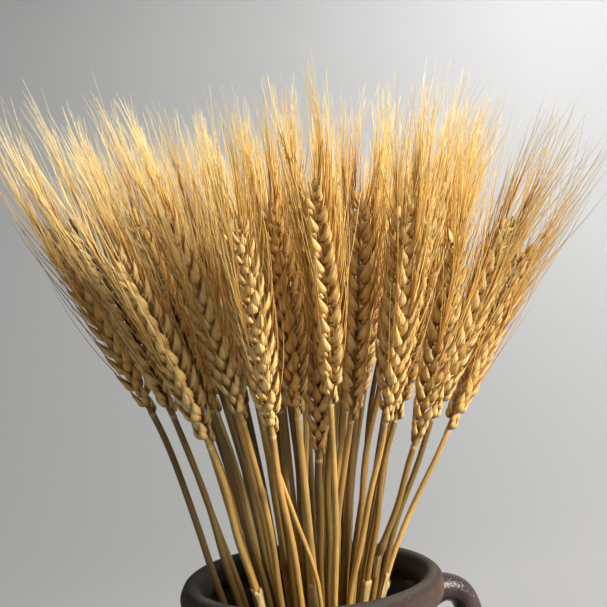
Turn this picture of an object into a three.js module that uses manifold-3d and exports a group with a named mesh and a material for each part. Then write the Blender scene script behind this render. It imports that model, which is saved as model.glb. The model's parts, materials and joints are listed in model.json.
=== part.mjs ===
// Dried bearded wheat: forty stems, each a straw with its ear and awns, standing in a stoneware jar.
// Millimetres, +Z up. The origin is the centre of the jar's flat foot, and -Y is the side that faces the viewer.
import * as THREE from "three";
import { mergeVertices } from "three/addons/utils/BufferGeometryUtils.js";
import Module from "manifold-3d";

const wasm = await Module();
wasm.setup();

// Driving dimensions
const JAR_HEIGHT = 228;
const RIM_RADIUS = 57.5; // outside of the rolled lip
const LIP_WIDTH = 9;
const NECK_RADIUS = 52.5;
const SHOULDER_RADIUS = 73;
const BELLY_RADIUS = 80;
const FOOT_RADIUS = 47;
const WALL = 7;
const FLOOR = 10; // thickness of the jar's bottom
const JAR_SIDES = 28;
const HANDLE_RADIUS = 5.6;
const HANDLE_REACH = 27; // how far a handle stands out past the rim
const HANDLE_TURN = 20; // degrees that the pair of handles is turned from the X axis
const HANDLE_SIDES = 8;
const HANDLE_STEPS = 9;
const SEAT_GAP = 0.3; // between a handle's ends and the wall that they are luted to

const STEM_COUNT = 40;
const STRAW_RADIUS = 1.7;
const STRAW_SIDES = 5;
const STRAW_STEPS = 6;
const STRAW_BEND = 1.6; // the most that one straw strays from the fan
const FOOT_GAP = 0.3; // between a straw's cut end and the jar's bottom
const EAR_LENGTH = 95;
const EAR_HALF_WIDTH = 6.2;
const EAR_HALF_DEPTH = 4.6;
const RACHIS_RADIUS = 2.1; // the waist between one scale and the next
const LEVELS = 7; // pairs of spikelets, larger than life so that they still cover the ear
const SCALE_PEAK = 0.8; // where a scale is widest, as a share of its level
const AWNS = 9;
const AWN_LENGTH = 56;
const AWN_RADIUS = 0.5;
const AWN_INSET = 2.6; // from the keel of its scale
const AWN_OFFSET = 1.5; // to one side of the keel
const AWN_CLEARANCE = 0.5;
const AWN_LEAN = { least: 0.06, most: 0.26, sideways: 0.17 }; // as shares of the awn's length
const AWN_DRAWS = 40; // how often a free way is looked for before an awn is left out

// How the bunch opens: a stem's distance from the axis is its spread times openingAt(z)
const OPEN_AT_FLOOR = 0.23;
const OPEN_AT_RIM = 0.565;
const OPENING_SLOPE = 0.0046; // per mm, at the rim
const OPENING_BEND = 2.7e-5; // per mm squared, above the rim
const BUNCH_RADIUS = 66; // at the height where the ears start
const BUNCH_SHIFT = { x: 0, y: 2 }; // of the stems behind the front ears
const BUNCH_PLACES = 50; // on the sunflower spiral that the other stems are chosen from
const LEAST_SPACING = 16;
const LEAST_TIP_SPACING = 20;
const TIP_LEVEL = 160; // above the rim, where the tips' spacing is kept
const LEAST_RIM_SPACING = 6.5;
const LEAST_RISE = 66; // of the ears behind, above the rim
const MOST_RISE = 88;

// The ears that face the viewer: x and y of the ear's base, its height above the rim, the twist of its two rows,
// how far its tip leans to the right of the fan's own line, and how far its straw crosses the rim to the right of it
const FRONT_EARS = [
  { x: -64, y: -15, rise: 76, twist: 60, lean: 4, shift: -5 },
  { x: -53, y: -33, rise: 77, twist: 20, lean: 0, shift: -3 },
  { x: -37, y: -51, rise: 66, twist: 48, lean: -10, shift: 0 },
  { x: -37, y: -31, rise: 78, twist: 5, lean: -5, shift: 1 },
  { x: -24, y: -45, rise: 74, twist: 70, lean: -11, shift: 0 },
  { x: -12, y: -60, rise: 70, twist: 62, lean: 0, shift: 2 },
  { x: -9, y: -28, rise: 76, twist: 30, lean: -6, shift: -3 },
  { x: -1, y: -46, rise: 75, twist: 50, lean: -8, shift: 2 },
  { x: 5, y: -31, rise: 55, twist: 80, lean: -1, shift: 0 },
  { x: 11, y: -60, rise: 81, twist: 15, lean: -15, shift: 3 },
  { x: 19, y: -44, rise: 72, twist: 0, lean: -8, shift: -2 },
  { x: 32, y: -53, rise: 72, twist: -55, lean: -16, shift: -3 },
  { x: 44, y: -42, rise: 60, twist: 85, lean: -16, shift: -2 },
  { x: 39, y: -27, rise: 69, twist: 25, lean: -9, shift: 3 },
  { x: 53, y: -28, rise: 69, twist: -60, lean: 0, shift: -4 },
  { x: 63, y: -8, rise: 61, twist: -40, lean: -1, shift: -6 },
];

const degrees = THREE.MathUtils.degToRad;

// A repeatable stream of numbers from 0 to 1
function makeRandom(seed) {
  let state = seed >>> 0;
  return () => {
    state = (state + 0x6d2b79f5) >>> 0;
    let t = state;
    t = Math.imul(t ^ (t >>> 15), t | 1);
    t ^= t + Math.imul(t ^ (t >>> 7), t | 61);
    return ((t ^ (t >>> 14)) >>> 0) / 4294967296;
  };
}

// The closed solid of a three.js geometry
function solidOf(geometry) {
  const plain = geometry.clone();
  plain.deleteAttribute("normal");
  plain.deleteAttribute("uv");
  const merged = mergeVertices(plain, 1e-4);
  return new wasm.Manifold(
    new wasm.Mesh({
      numProp: 3,
      vertProperties: merged.attributes.position.array,
      triVerts: new Uint32Array(merged.index.array),
    }),
  );
}

function meshOf(name, solid, material) {
  const { vertProperties, triVerts } = solid.getMesh();
  const geometry = new THREE.BufferGeometry();
  geometry.setAttribute("position", new THREE.BufferAttribute(vertProperties, 3));
  geometry.setIndex(new THREE.BufferAttribute(triVerts, 1));
  geometry.computeVertexNormals();
  const mesh = new THREE.Mesh(geometry, material);
  mesh.name = name;
  return mesh;
}

// A bar of a regular section swept along a curve
function bar(curve, radius, sides, steps) {
  const section = new THREE.Shape();
  for (let i = 0; i < sides; i++) {
    const a = (2 * Math.PI * i) / sides;
    if (i === 0) section.moveTo(radius * Math.cos(a), radius * Math.sin(a));
    else section.lineTo(radius * Math.cos(a), radius * Math.sin(a));
  }
  section.closePath();
  return new THREE.ExtrudeGeometry(section, { steps, extrudePath: curve, curveSegments: 1 });
}

// The jar's outline from its foot up over the belly, the shoulder and the short neck to the thick rolled lip
function jarOutline() {
  return [
    [FOOT_RADIUS, 0],
    [FOOT_RADIUS + 3, 4],
    [BELLY_RADIUS - 10, 52],
    [BELLY_RADIUS, 102],
    [SHOULDER_RADIUS, 148],
    [NECK_RADIUS + 6, JAR_HEIGHT - 46],
    [NECK_RADIUS, JAR_HEIGHT - 30],
    [NECK_RADIUS + 0.5, JAR_HEIGHT - 17],
    [RIM_RADIUS, JAR_HEIGHT - 11],
    [RIM_RADIUS, JAR_HEIGHT - 4],
    [RIM_RADIUS - 3, JAR_HEIGHT],
  ];
}

function turned(points) {
  const profile = points.map(([r, z]) => new THREE.Vector2(r, z));
  return solidOf(new THREE.LatheGeometry(profile, JAR_SIDES).rotateX(Math.PI / 2));
}

function jar() {
  const inside = [
    [RIM_RADIUS - LIP_WIDTH + 2, JAR_HEIGHT - 0.6],
    [RIM_RADIUS - LIP_WIDTH, JAR_HEIGHT - 4],
    [NECK_RADIUS - WALL, JAR_HEIGHT - 28],
    [SHOULDER_RADIUS - WALL, 148],
    [BELLY_RADIUS - WALL, 102],
    [BELLY_RADIUS - 10 - WALL, 54],
    [FOOT_RADIUS - 6, FLOOR],
    [0, FLOOR],
  ];
  return turned([[0, 0], ...jarOutline(), ...inside]);
}

// A loop of clay from the neck, just under the lip, down to the shoulder, cut to the wall at both ends
function handle(turn) {
  const top = JAR_HEIGHT - 14;
  const reach = RIM_RADIUS + HANDLE_REACH - HANDLE_RADIUS;
  const curve = new THREE.CatmullRomCurve3([
    new THREE.Vector3(NECK_RADIUS - 3, 0, top - 3),
    new THREE.Vector3(RIM_RADIUS + 8, 0, top),
    new THREE.Vector3(reach - 4, 0, top - 7),
    new THREE.Vector3(reach, 0, top - 24),
    new THREE.Vector3(reach - 2, 0, top - 42),
    new THREE.Vector3(reach - 7, 0, top - 53),
    new THREE.Vector3(reach - 13, 0, top - 59),
  ]);
  const loop = solidOf(bar(curve, HANDLE_RADIUS, HANDLE_SIDES, HANDLE_STEPS).rotateZ(degrees(turn)));
  const wall = jarOutline().map(([r, z]) => [r + SEAT_GAP, z]);
  return loop.subtract(turned([[0, 0], ...wall, [0, JAR_HEIGHT]]));
}

// How far the bunch is open at height z, as a share of its spread at the ears
function openingAt(z) {
  if (z <= JAR_HEIGHT) {
    const share = Math.max(0, (z - FLOOR) / (JAR_HEIGHT - FLOOR));
    return OPEN_AT_FLOOR + (OPEN_AT_RIM - OPEN_AT_FLOOR) * share ** 3;
  }
  const above = z - JAR_HEIGHT;
  return OPEN_AT_RIM + OPENING_SLOPE * above + (OPENING_BEND / 2) * above * above;
}

// Where each stem stands, as its spread from the axis: the front ears first, then the rest round them by rule
function plan() {
  const random = makeRandom(11);
  const stems = FRONT_EARS.map(({ x, y, rise, twist, lean, shift }) => {
    const open = openingAt(JAR_HEIGHT + rise);
    return {
      x: x / open,
      y: y / open,
      rise,
      twist: degrees(twist),
      lean: { x: lean, y: 0 },
      shift: { x: shift, y: 0 },
    };
  });
  const golden = Math.PI * (3 - Math.sqrt(5));
  for (let i = 0; stems.length < STEM_COUNT; i++) {
    const r = BUNCH_RADIUS * Math.sqrt((i + 0.5) / BUNCH_PLACES);
    if (r > BUNCH_RADIUS) break;
    const x = r * Math.cos(i * golden) + BUNCH_SHIFT.x;
    const y = r * Math.sin(i * golden) + BUNCH_SHIFT.y;
    const rise = LEAST_RISE + (MOST_RISE - LEAST_RISE) * random();
    const twist = Math.PI * random();
    const clear = stems.every((s) => Math.hypot(s.x - x, s.y - y) > LEAST_SPACING - 3);
    if (clear) stems.push({ x, y, rise, twist, lean: { x: 0, y: 0 }, shift: { x: 0, y: 0 } });
  }
  for (let pass = 0; pass < 60; pass++) {
    push(stems, LEAST_SPACING, (stem) => stem, (stem) => stem);
  }
  for (const s of stems) {
    s.bend = STRAW_BEND * (2 * random() - 1);
    s.bendAngle = 2 * Math.PI * random();
  }
  const nearTip = (stem) => pointAt(stem, JAR_HEIGHT + TIP_LEVEL);
  for (let pass = 0; pass < 60; pass++) {
    push(stems, LEAST_TIP_SPACING, nearTip, (stem) => stem.lean);
  }
  const atRim = (stem) => pointAt(stem, JAR_HEIGHT);
  for (let pass = 0; pass < 60; pass++) {
    push(stems, LEAST_RIM_SPACING, atRim, (stem) => stem.shift);
  }
  return stems;
}

// Moves each pair of stems that are closer than least a little apart. placeOf gives where a stem is, and movedBy what
// is changed to move it.
function push(stems, least, placeOf, movedBy) {
  for (let i = 0; i < stems.length; i++) {
    for (let j = i + 1; j < stems.length; j++) {
      const one = placeOf(stems[i]);
      const other = placeOf(stems[j]);
      const dx = other.x - one.x;
      const dy = other.y - one.y;
      const apart = Math.hypot(dx, dy);
      if (apart >= least) continue;
      const share = (least - apart) / 4 / apart;
      movedBy(stems[i]).x -= dx * share;
      movedBy(stems[i]).y -= dy * share;
      movedBy(stems[j]).x += dx * share;
      movedBy(stems[j]).y += dy * share;
    }
  }
}

// How much of its own lean a stem has at height z: none at the ear's base, all of it at the ear's tip
function leanShare(stem, z) {
  const whole = stem.rise + EAR_LENGTH;
  const share = Math.max(0, z - JAR_HEIGHT) / whole;
  const base = stem.rise / whole;
  return (share ** 1.5 * (share - base)) / (1 - base);
}

// How much of its own shift a straw has at height z: none at its foot, all of it at the rim, none at the ear's base
function shiftShare(stem, z) {
  if (z > JAR_HEIGHT) return (1 + Math.cos(Math.PI * Math.min(1, (z - JAR_HEIGHT) / stem.rise))) / 2;
  const share = Math.max(0, (z - FLOOR) / (JAR_HEIGHT - FLOOR));
  return share ** 3 * (4 - 3 * share);
}

// The line that a stem follows, as a point at height z: the fan of the bunch, and a bend, shift and lean of its own
function pointAt(stem, z) {
  const open = openingAt(z);
  const leaning = leanShare(stem, z);
  const shifted = shiftShare(stem, z);
  const t = THREE.MathUtils.clamp((z - JAR_HEIGHT) / stem.rise, 0, 1);
  const bend = stem.bend * Math.sin(Math.PI * t);
  return new THREE.Vector3(
    stem.x * open + bend * Math.cos(stem.bendAngle) + stem.lean.x * leaning + stem.shift.x * shifted,
    stem.y * open + bend * Math.sin(stem.bendAngle) + stem.lean.y * leaning + stem.shift.y * shifted,
    z,
  );
}

function directionAt(stem, z) {
  return pointAt(stem, z + 1).sub(pointAt(stem, z - 1)).normalize();
}

// The height of the ear's tip, so that the ear has its length along its own lean
function tipHeight(stem) {
  const base = JAR_HEIGHT + stem.rise;
  return base + EAR_LENGTH * directionAt(stem, base + EAR_LENGTH / 2).z;
}

// The straw's curve, from the cut end on the jar's bottom into the base of the ear
class StemCurve extends THREE.Curve {
  constructor(stem) {
    super();
    this.stem = stem;
  }
  getPoint(t, target = new THREE.Vector3()) {
    const foot = FLOOR + FOOT_GAP;
    const top = JAR_HEIGHT + this.stem.rise + 3;
    return target.copy(pointAt(this.stem, foot + (top - foot) * t));
  }
}

// The shortest distance between two straight pieces
function gapBetween(a, b) {
  const u = a.end.clone().sub(a.start);
  const v = b.end.clone().sub(b.start);
  const w = a.start.clone().sub(b.start);
  const uu = u.dot(u);
  const uv = u.dot(v);
  const vv = v.dot(v);
  const uw = u.dot(w);
  const vw = v.dot(w);
  const clamp = THREE.MathUtils.clamp;
  const parallel = uu * vv - uv * uv;
  let s = parallel > 1e-9 ? clamp((uv * vw - vv * uw) / parallel, 0, 1) : 0;
  const t = clamp((uv * s + vw) / vv, 0, 1);
  s = clamp((uv * t - uw) / uu, 0, 1);
  return w.addScaledVector(u, s).addScaledVector(v, -t).length();
}

// The straight pieces that stand for a stem's straw and ear when awns look for a free way
function bodyPieces(stem, index) {
  const base = JAR_HEIGHT + stem.rise;
  const top = tipHeight(stem);
  const piece = (from, to, radius) => ({
    index,
    radius,
    start: pointAt(stem, from),
    end: pointAt(stem, to),
  });
  const middle = (base + top) / 2;
  return [
    piece(JAR_HEIGHT, base, STRAW_RADIUS),
    piece(base, middle, EAR_HALF_WIDTH + 1),
    piece(middle, top, EAR_HALF_WIDTH),
  ];
}

// The frame of the ear at height z: along it, across its two rows, and square to both
function earFrame(stem, z) {
  const along = directionAt(stem, z);
  const across = new THREE.Vector3(Math.cos(stem.twist), Math.sin(stem.twist), 0);
  across.addScaledVector(along, -across.dot(along)).normalize();
  const flat = new THREE.Vector3().crossVectors(along, across);
  return { along, across, flat };
}

// A free direction for an awn that starts at one place: the first of a few draws that stays clear of the others
function awnTip(start, frame, side, index, taken, random) {
  const length = AWN_LENGTH * (0.85 + 0.3 * random());
  for (let draw = 0; draw < AWN_DRAWS; draw++) {
    const out = side * (AWN_LEAN.least + (AWN_LEAN.most - AWN_LEAN.least) * random());
    const sideways = AWN_LEAN.sideways * (2 * random() - 1);
    const end = start
      .clone()
      .addScaledVector(frame.along, length)
      .addScaledVector(frame.across, out * length)
      .addScaledVector(frame.flat, sideways * length);
    const awn = { index, radius: AWN_RADIUS, start, end };
    const clear = taken.every(
      (other) =>
        other.index === index || gapBetween(awn, other) > awn.radius + other.radius + AWN_CLEARANCE,
    );
    if (clear) {
      taken.push(awn);
      return end;
    }
  }
  return null;
}

// The outline of the ear round its axis: the keels of the right and left rows, and two shoulders for each
const EAR_CORNERS = [0, 62, 118, 180, 242, 298].map(degrees);

// How plump the ear is at a share of its length: slim at the base, full in the middle, tapering at the tip
function plumpness(share) {
  return 0.62 + 0.38 * Math.sin(Math.PI * Math.min(1, 0.16 + 0.8 * share)) - 0.2 * share ** 3;
}

// One ring of the ear. Each row's scales are half a level further up than the other row's.
function earRing(stem, level, half) {
  const base = JAR_HEIGHT + stem.rise;
  const height = tipHeight(stem) - base;
  const pitch = height / (LEVELS + 0.7);
  return EAR_CORNERS.map((corner) => {
    const rightRow = Math.cos(corner) > 0;
    const up = (level + (rightRow ? 0 : 0.5)) * pitch;
    const z = base + up;
    const { across, flat } = earFrame(stem, z);
    const size = plumpness(up / height);
    const wide = half === "peak" ? EAR_HALF_WIDTH * size : RACHIS_RADIUS;
    const deep = half === "peak" ? EAR_HALF_DEPTH * size : RACHIS_RADIUS;
    return pointAt(stem, z)
      .addScaledVector(across, wide * Math.cos(corner))
      .addScaledVector(flat, deep * Math.sin(corner));
  });
}

// The ear as one closed surface: a ring at each waist and at each scale's widest place, and a point at both ends
function ear(stem) {
  const rings = [];
  for (let level = 0; level < LEVELS; level++) {
    rings.push(earRing(stem, level + 0.02, "waist"));
    rings.push(earRing(stem, level + SCALE_PEAK, "peak"));
  }
  const root = pointAt(stem, JAR_HEIGHT + stem.rise - 1);
  const tip = pointAt(stem, tipHeight(stem));
  const sides = EAR_CORNERS.length;
  const points = [root, ...rings.flat(), tip];
  const faces = [];
  for (let i = 0; i < sides; i++) {
    const j = (i + 1) % sides;
    faces.push(0, 1 + j, 1 + i);
    for (let ring = 0; ring < rings.length - 1; ring++) {
      const here = 1 + ring * sides;
      const next = here + sides;
      faces.push(here + i, here + j, next + j, here + i, next + j, next + i);
    }
    const last = 1 + (rings.length - 1) * sides;
    faces.push(last + i, last + j, points.length - 1);
  }
  const geometry = new THREE.BufferGeometry().setFromPoints(points);
  geometry.setIndex(faces);
  return solidOf(geometry);
}

// A three-sided needle from inside a scale out to its free end
function awn(stem, index, k, taken, random) {
  const base = JAR_HEIGHT + stem.rise;
  const height = tipHeight(stem) - base;
  const share = (k + 0.6) / AWNS;
  const side = k % 2 ? -1 : 1;
  const level = Math.min(LEVELS - 1, Math.floor(share * LEVELS));
  const up = ((level + SCALE_PEAK - 0.12 + (side > 0 ? 0 : 0.5)) * height) / (LEVELS + 0.7);
  const frame = earFrame(stem, base + up);
  const size = plumpness(up / height);
  const start = pointAt(stem, base + up)
    .addScaledVector(frame.across, side * (EAR_HALF_WIDTH * size - AWN_INSET))
    .addScaledVector(frame.flat, (random() < 0.5 ? -1 : 1) * AWN_OFFSET * size);
  const end = awnTip(start, frame, side, index, taken, random);
  if (!end) return null;
  const along = end.clone().sub(start).normalize();
  const outward = frame.across.clone().addScaledVector(along, -frame.across.dot(along)).normalize();
  const sideways = new THREE.Vector3().crossVectors(along, outward);
  const points = [0, 120, 240].map((a) =>
    start
      .clone()
      .addScaledVector(outward, AWN_RADIUS * Math.cos(degrees(a)))
      .addScaledVector(sideways, AWN_RADIUS * Math.sin(degrees(a))),
  );
  const geometry = new THREE.BufferGeometry().setFromPoints([...points, end]);
  geometry.setIndex([0, 2, 1, 0, 1, 3, 1, 2, 3, 2, 0, 3]);
  return solidOf(geometry);
}

// Straw, ear and awns of one stem, grown together
function wheatStem(stem, index, taken) {
  const random = makeRandom(100 + index);
  const straw = bar(new StemCurve(stem), STRAW_RADIUS, STRAW_SIDES, STRAW_STEPS);
  const grown = [solidOf(straw), ear(stem)];
  for (let k = 0; k < AWNS; k++) {
    const needle = awn(stem, index, k, taken, random);
    if (needle) grown.push(needle);
  }
  return wasm.Manifold.union(grown);
}

const clay = new THREE.MeshStandardMaterial({ color: 0x3a2c2a, roughness: 0.45, metalness: 0 });
const dryWheat = new THREE.MeshStandardMaterial({ color: 0xc9984c, roughness: 0.7, metalness: 0 });

const wheat = new THREE.Group();
wheat.add(meshOf("stoneware_jar", jar(), clay));
wheat.add(meshOf("jar_handle_right", handle(HANDLE_TURN), clay));
wheat.add(meshOf("jar_handle_left", handle(HANDLE_TURN + 180), clay));

const stems = plan();
const taken = stems.flatMap((stem, index) => bodyPieces(stem, index));
stems.forEach((stem, index) => {
  const name = "wheat_stem_" + String(index + 1).padStart(2, "0");
  wheat.add(meshOf(name, wheatStem(stem, index, taken), dryWheat));
});

export default wheat;
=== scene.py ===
# %% [markdown]
# # A bunch of dried bearded wheat in a stoneware jar
# Forty stems stand in a dark glazed jar. Each stem is a straw, an ear of husks in two rows, and the long awns
# that rise from the husks. The construction is settled already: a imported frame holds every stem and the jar
# as plain solids at their real size and place. This lesson dresses that frame. Nothing in the frame is moved.
# The plain solids are replaced by finer pieces that stand exactly where they stand.

# %% Load the frame
import json
import math
import random

import bmesh
import bpy
import numpy as np
from mathutils import Matrix, Vector

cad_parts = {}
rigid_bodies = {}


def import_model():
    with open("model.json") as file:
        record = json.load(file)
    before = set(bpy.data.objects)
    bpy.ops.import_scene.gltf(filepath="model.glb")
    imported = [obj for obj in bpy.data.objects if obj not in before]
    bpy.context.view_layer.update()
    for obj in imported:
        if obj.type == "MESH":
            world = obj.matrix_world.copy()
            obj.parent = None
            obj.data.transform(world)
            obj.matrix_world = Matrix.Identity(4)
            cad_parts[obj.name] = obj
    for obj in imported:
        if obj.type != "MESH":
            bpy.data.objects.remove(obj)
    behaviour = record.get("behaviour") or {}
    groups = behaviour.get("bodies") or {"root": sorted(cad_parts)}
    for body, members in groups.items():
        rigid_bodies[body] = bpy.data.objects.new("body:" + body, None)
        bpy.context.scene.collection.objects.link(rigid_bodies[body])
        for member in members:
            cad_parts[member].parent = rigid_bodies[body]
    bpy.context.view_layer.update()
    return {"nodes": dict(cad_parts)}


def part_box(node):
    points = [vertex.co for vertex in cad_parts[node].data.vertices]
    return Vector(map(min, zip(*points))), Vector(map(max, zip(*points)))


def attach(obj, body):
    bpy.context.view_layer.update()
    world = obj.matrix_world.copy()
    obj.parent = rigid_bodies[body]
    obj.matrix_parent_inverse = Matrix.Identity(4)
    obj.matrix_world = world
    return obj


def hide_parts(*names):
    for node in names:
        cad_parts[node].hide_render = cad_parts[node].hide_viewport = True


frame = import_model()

print("nodes in the frame:", len(frame["nodes"]))

# %% [markdown]
# ## How the bunch fans out
# All the straws lean outwards together, as wheat does in a narrow neck. One way is to place each stem by
# hand. The better way is a rule: every stem has a spread from the jar's axis, and one curve says how far the
# bunch is open at each height. The frame was made by this rule, so the same numbers give the same lines here,
# and the finer stems fall on the solids that they replace. The ears in front were placed one by one, and the
# others fill in behind them. Each stem also has a small lean at its ear and a small shift at the rim. They
# are worked out by pushing apart the stems that stand too close, a little at a time, until none touches
# another.

# %% Sizes of the jar and of the fan, in metres
JAR_HEIGHT = 0.228
JAR_FLOOR = 0.010
STEM_COUNT = 40
STRAW_FOOT = JAR_FLOOR + 0.0003
EAR_LENGTH = 0.095
OPEN_AT_FLOOR = 0.23
OPEN_AT_RIM = 0.565
OPENING_SLOPE = 4.6
OPENING_BEND = 27.0
BUNCH_RADIUS = 0.066
BUNCH_SHIFT = (0.0, 0.002)
BUNCH_PLACES = 50
PLACING_SEED = 11
PUSHES = 60
LEAST_SPACING = 0.016
SPACING_ALLOWANCE = 0.003
LEAST_TIP_SPACING = 0.020
TIP_LEVEL = 0.160
LEAST_RIM_SPACING = 0.0065
LEAST_RISE = 0.066
MOST_RISE = 0.088
STRAW_BEND = 0.0016

# Each ear in front: x and y of its base, its height above the rim, the twist of its two rows in degrees,
# how far its tip leans to the right of the fan's own line, and how far to the right its straw crosses the rim
FRONT_EARS = (
    (-0.064, -0.015, 0.076, 60, 0.004, -0.005),
    (-0.053, -0.033, 0.077, 20, 0.000, -0.003),
    (-0.037, -0.051, 0.066, 48, -0.010, 0.000),
    (-0.037, -0.031, 0.078, 5, -0.005, 0.001),
    (-0.024, -0.045, 0.074, 70, -0.011, 0.000),
    (-0.012, -0.060, 0.070, 62, 0.000, 0.002),
    (-0.009, -0.028, 0.076, 30, -0.006, -0.003),
    (-0.001, -0.046, 0.075, 50, -0.008, 0.002),
    (0.005, -0.031, 0.055, 80, -0.001, 0.000),
    (0.011, -0.060, 0.081, 15, -0.015, 0.003),
    (0.019, -0.044, 0.072, 0, -0.008, -0.002),
    (0.032, -0.053, 0.072, -55, -0.016, -0.003),
    (0.044, -0.042, 0.060, 85, -0.016, -0.002),
    (0.039, -0.027, 0.069, 25, -0.009, 0.003),
    (0.053, -0.028, 0.069, -60, 0.000, -0.004),
    (0.063, -0.008, 0.061, -40, -0.001, -0.006),
)
print("ears placed one by one:", len(FRONT_EARS))


# %% The stream of numbers that placed the stems
def placing_numbers(seed):
    """The frame's repeatable stream of numbers from 0 to 1."""
    whole = 0xFFFFFFFF
    state = seed

    def next_number():
        nonlocal state
        state = (state + 0x6D2B79F5) & whole
        t = ((state ^ (state >> 15)) * (state | 1)) & whole
        t ^= (t + (((t ^ (t >> 7)) * (t | 61)) & whole)) & whole
        return ((t ^ (t >> 14)) & whole) / 4294967296

    return next_number


def opening_at(z):
    """How far the bunch is open at height z, as a share of its spread at the ears."""
    if z <= JAR_HEIGHT:
        share = max(0.0, (z - JAR_FLOOR) / (JAR_HEIGHT - JAR_FLOOR))
        return OPEN_AT_FLOOR + (OPEN_AT_RIM - OPEN_AT_FLOOR) * share**3
    above = z - JAR_HEIGHT
    return OPEN_AT_RIM + OPENING_SLOPE * above + OPENING_BEND / 2 * above * above


print("the bunch is open at the ears' feet by:", round(opening_at(JAR_HEIGHT + LEAST_RISE), 3))


# %% The line of one stem
class Stem:
    """One stem: its spread from the axis, its ear's height and twist, its lean and its shift at the rim."""

    def __init__(self, x, y, rise, twist, lean=0.0, shift=0.0):
        self.x, self.y, self.rise, self.twist = x, y, rise, twist
        self.lean_x, self.lean_y = lean, 0.0
        self.shift_x, self.shift_y = shift, 0.0
        self.bend = self.bend_angle = 0.0
        self.slimness = 1.0

    def lean_share(self, z):
        """How much of its lean the stem has at height z: none at the ear's base, all of it at the tip."""
        whole = self.rise + EAR_LENGTH
        share = max(0.0, z - JAR_HEIGHT) / whole
        base = self.rise / whole
        return share**1.5 * (share - base) / (1 - base)

    def shift_share(self, z):
        """How much of its shift the straw has at height z: none at foot and ear, all of it at the rim."""
        if z > JAR_HEIGHT:
            return (1 + math.cos(math.pi * min(1.0, (z - JAR_HEIGHT) / self.rise))) / 2
        share = max(0.0, (z - JAR_FLOOR) / (JAR_HEIGHT - JAR_FLOOR))
        return share**3 * (4 - 3 * share)

    def point(self, z):
        """The stem's middle line at height z."""
        opening = opening_at(z)
        leaning = self.lean_share(z)
        shifted = self.shift_share(z)
        share = min(1.0, max(0.0, (z - JAR_HEIGHT) / self.rise))
        bend = self.bend * math.sin(math.pi * share)
        x = self.x * opening + bend * math.cos(self.bend_angle)
        y = self.y * opening + bend * math.sin(self.bend_angle)
        x = x + self.lean_x * leaning + self.shift_x * shifted
        y = y + self.lean_y * leaning + self.shift_y * shifted
        return Vector((x, y, z))

    def direction(self, z):
        return (self.point(z + 0.001) - self.point(z - 0.001)).normalized()

    @property
    def ear_base(self):
        return JAR_HEIGHT + self.rise

    @property
    def ear_height(self):
        return EAR_LENGTH * self.direction(self.ear_base + EAR_LENGTH / 2).z


outermost = Stem(BUNCH_RADIUS, 0.0, LEAST_RISE, 0.0)
slant = outermost.direction(outermost.ear_base).angle(Vector((0, 0, 1)))
print("the outermost straw leans at its ear by, degrees:", round(math.degrees(slant), 1))


# %% Push stems apart and place all forty
def shove(stem, dx, dy):
    stem.x, stem.y = stem.x + dx, stem.y + dy


def shove_tip(stem, dx, dy):
    stem.lean_x, stem.lean_y = stem.lean_x + dx, stem.lean_y + dy


def shove_rim(stem, dx, dy):
    stem.shift_x, stem.shift_y = stem.shift_x + dx, stem.shift_y + dy


def move_apart(stems, least, place_of, mover):
    """Moves each pair of stems that are closer than least a little apart."""
    for i, one in enumerate(stems):
        for other in stems[i + 1 :]:
            here, there = place_of(one), place_of(other)
            dx, dy = there.x - here.x, there.y - here.y
            apart = math.hypot(dx, dy)
            if apart >= least:
                continue
            share = (least - apart) / 4 / apart
            mover(one, -dx * share, -dy * share)
            mover(other, dx * share, dy * share)


def place_stems():
    number = placing_numbers(PLACING_SEED)
    stems = []
    for x, y, rise, twist, lean, shift in FRONT_EARS:
        opening = opening_at(JAR_HEIGHT + rise)
        stems.append(Stem(x / opening, y / opening, rise, math.radians(twist), lean, shift))
    golden = math.pi * (3 - math.sqrt(5))
    place = 0
    while len(stems) < STEM_COUNT:
        r = BUNCH_RADIUS * math.sqrt((place + 0.5) / BUNCH_PLACES)
        if r > BUNCH_RADIUS:
            break
        x = r * math.cos(place * golden) + BUNCH_SHIFT[0]
        y = r * math.sin(place * golden) + BUNCH_SHIFT[1]
        rise = LEAST_RISE + (MOST_RISE - LEAST_RISE) * number()
        twist = math.pi * number()
        if all(math.hypot(s.x - x, s.y - y) > LEAST_SPACING - SPACING_ALLOWANCE for s in stems):
            stems.append(Stem(x, y, rise, twist))
        place += 1
    for _ in range(PUSHES):
        move_apart(stems, LEAST_SPACING, lambda stem: stem, shove)
    for stem in stems:
        stem.bend = STRAW_BEND * (2 * number() - 1)
        stem.bend_angle = 2 * math.pi * number()
    for _ in range(PUSHES):
        move_apart(stems, LEAST_TIP_SPACING, lambda stem: stem.point(JAR_HEIGHT + TIP_LEVEL), shove_tip)
    for _ in range(PUSHES):
        move_apart(stems, LEAST_RIM_SPACING, lambda stem: stem.point(JAR_HEIGHT), shove_rim)
    return stems


stems = place_stems()
misses = []
for index, stem in enumerate(stems):
    low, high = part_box(f"wheat_stem_{index + 1:02d}")
    misses.append(max(0.0, low.x - stem.point(STRAW_FOOT).x, stem.point(STRAW_FOOT).x - high.x))
print("stems:", len(stems), "furthest foot outside its solid, mm:", round(1000 * max(misses), 3))

# %% [markdown]
# ## One husk
# An ear of wheat is a stack of spikelets, and a spikelet is a small fan of husks: two empty outer ones, the
# glumes, and the plump ones that hold the grain. A husk could be sculpted, but it is repeated thousands of
# times, so it has to be light. Here it is a closed almond shape of six rings. Each ring is rounder outside
# than inside and has a keel down its back. Two values travel with every point: where it is along the husk,
# and where it is round it. The finish reads them later, so that its fine ribs follow each husk however it is
# turned.

# %% Shape of a husk
# Where along the husk its rings lie, and the corners of a ring
HUSK_RINGS = (0.07, 0.22, 0.42, 0.62, 0.8, 0.93)
HUSK_SIDES = 8
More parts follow.
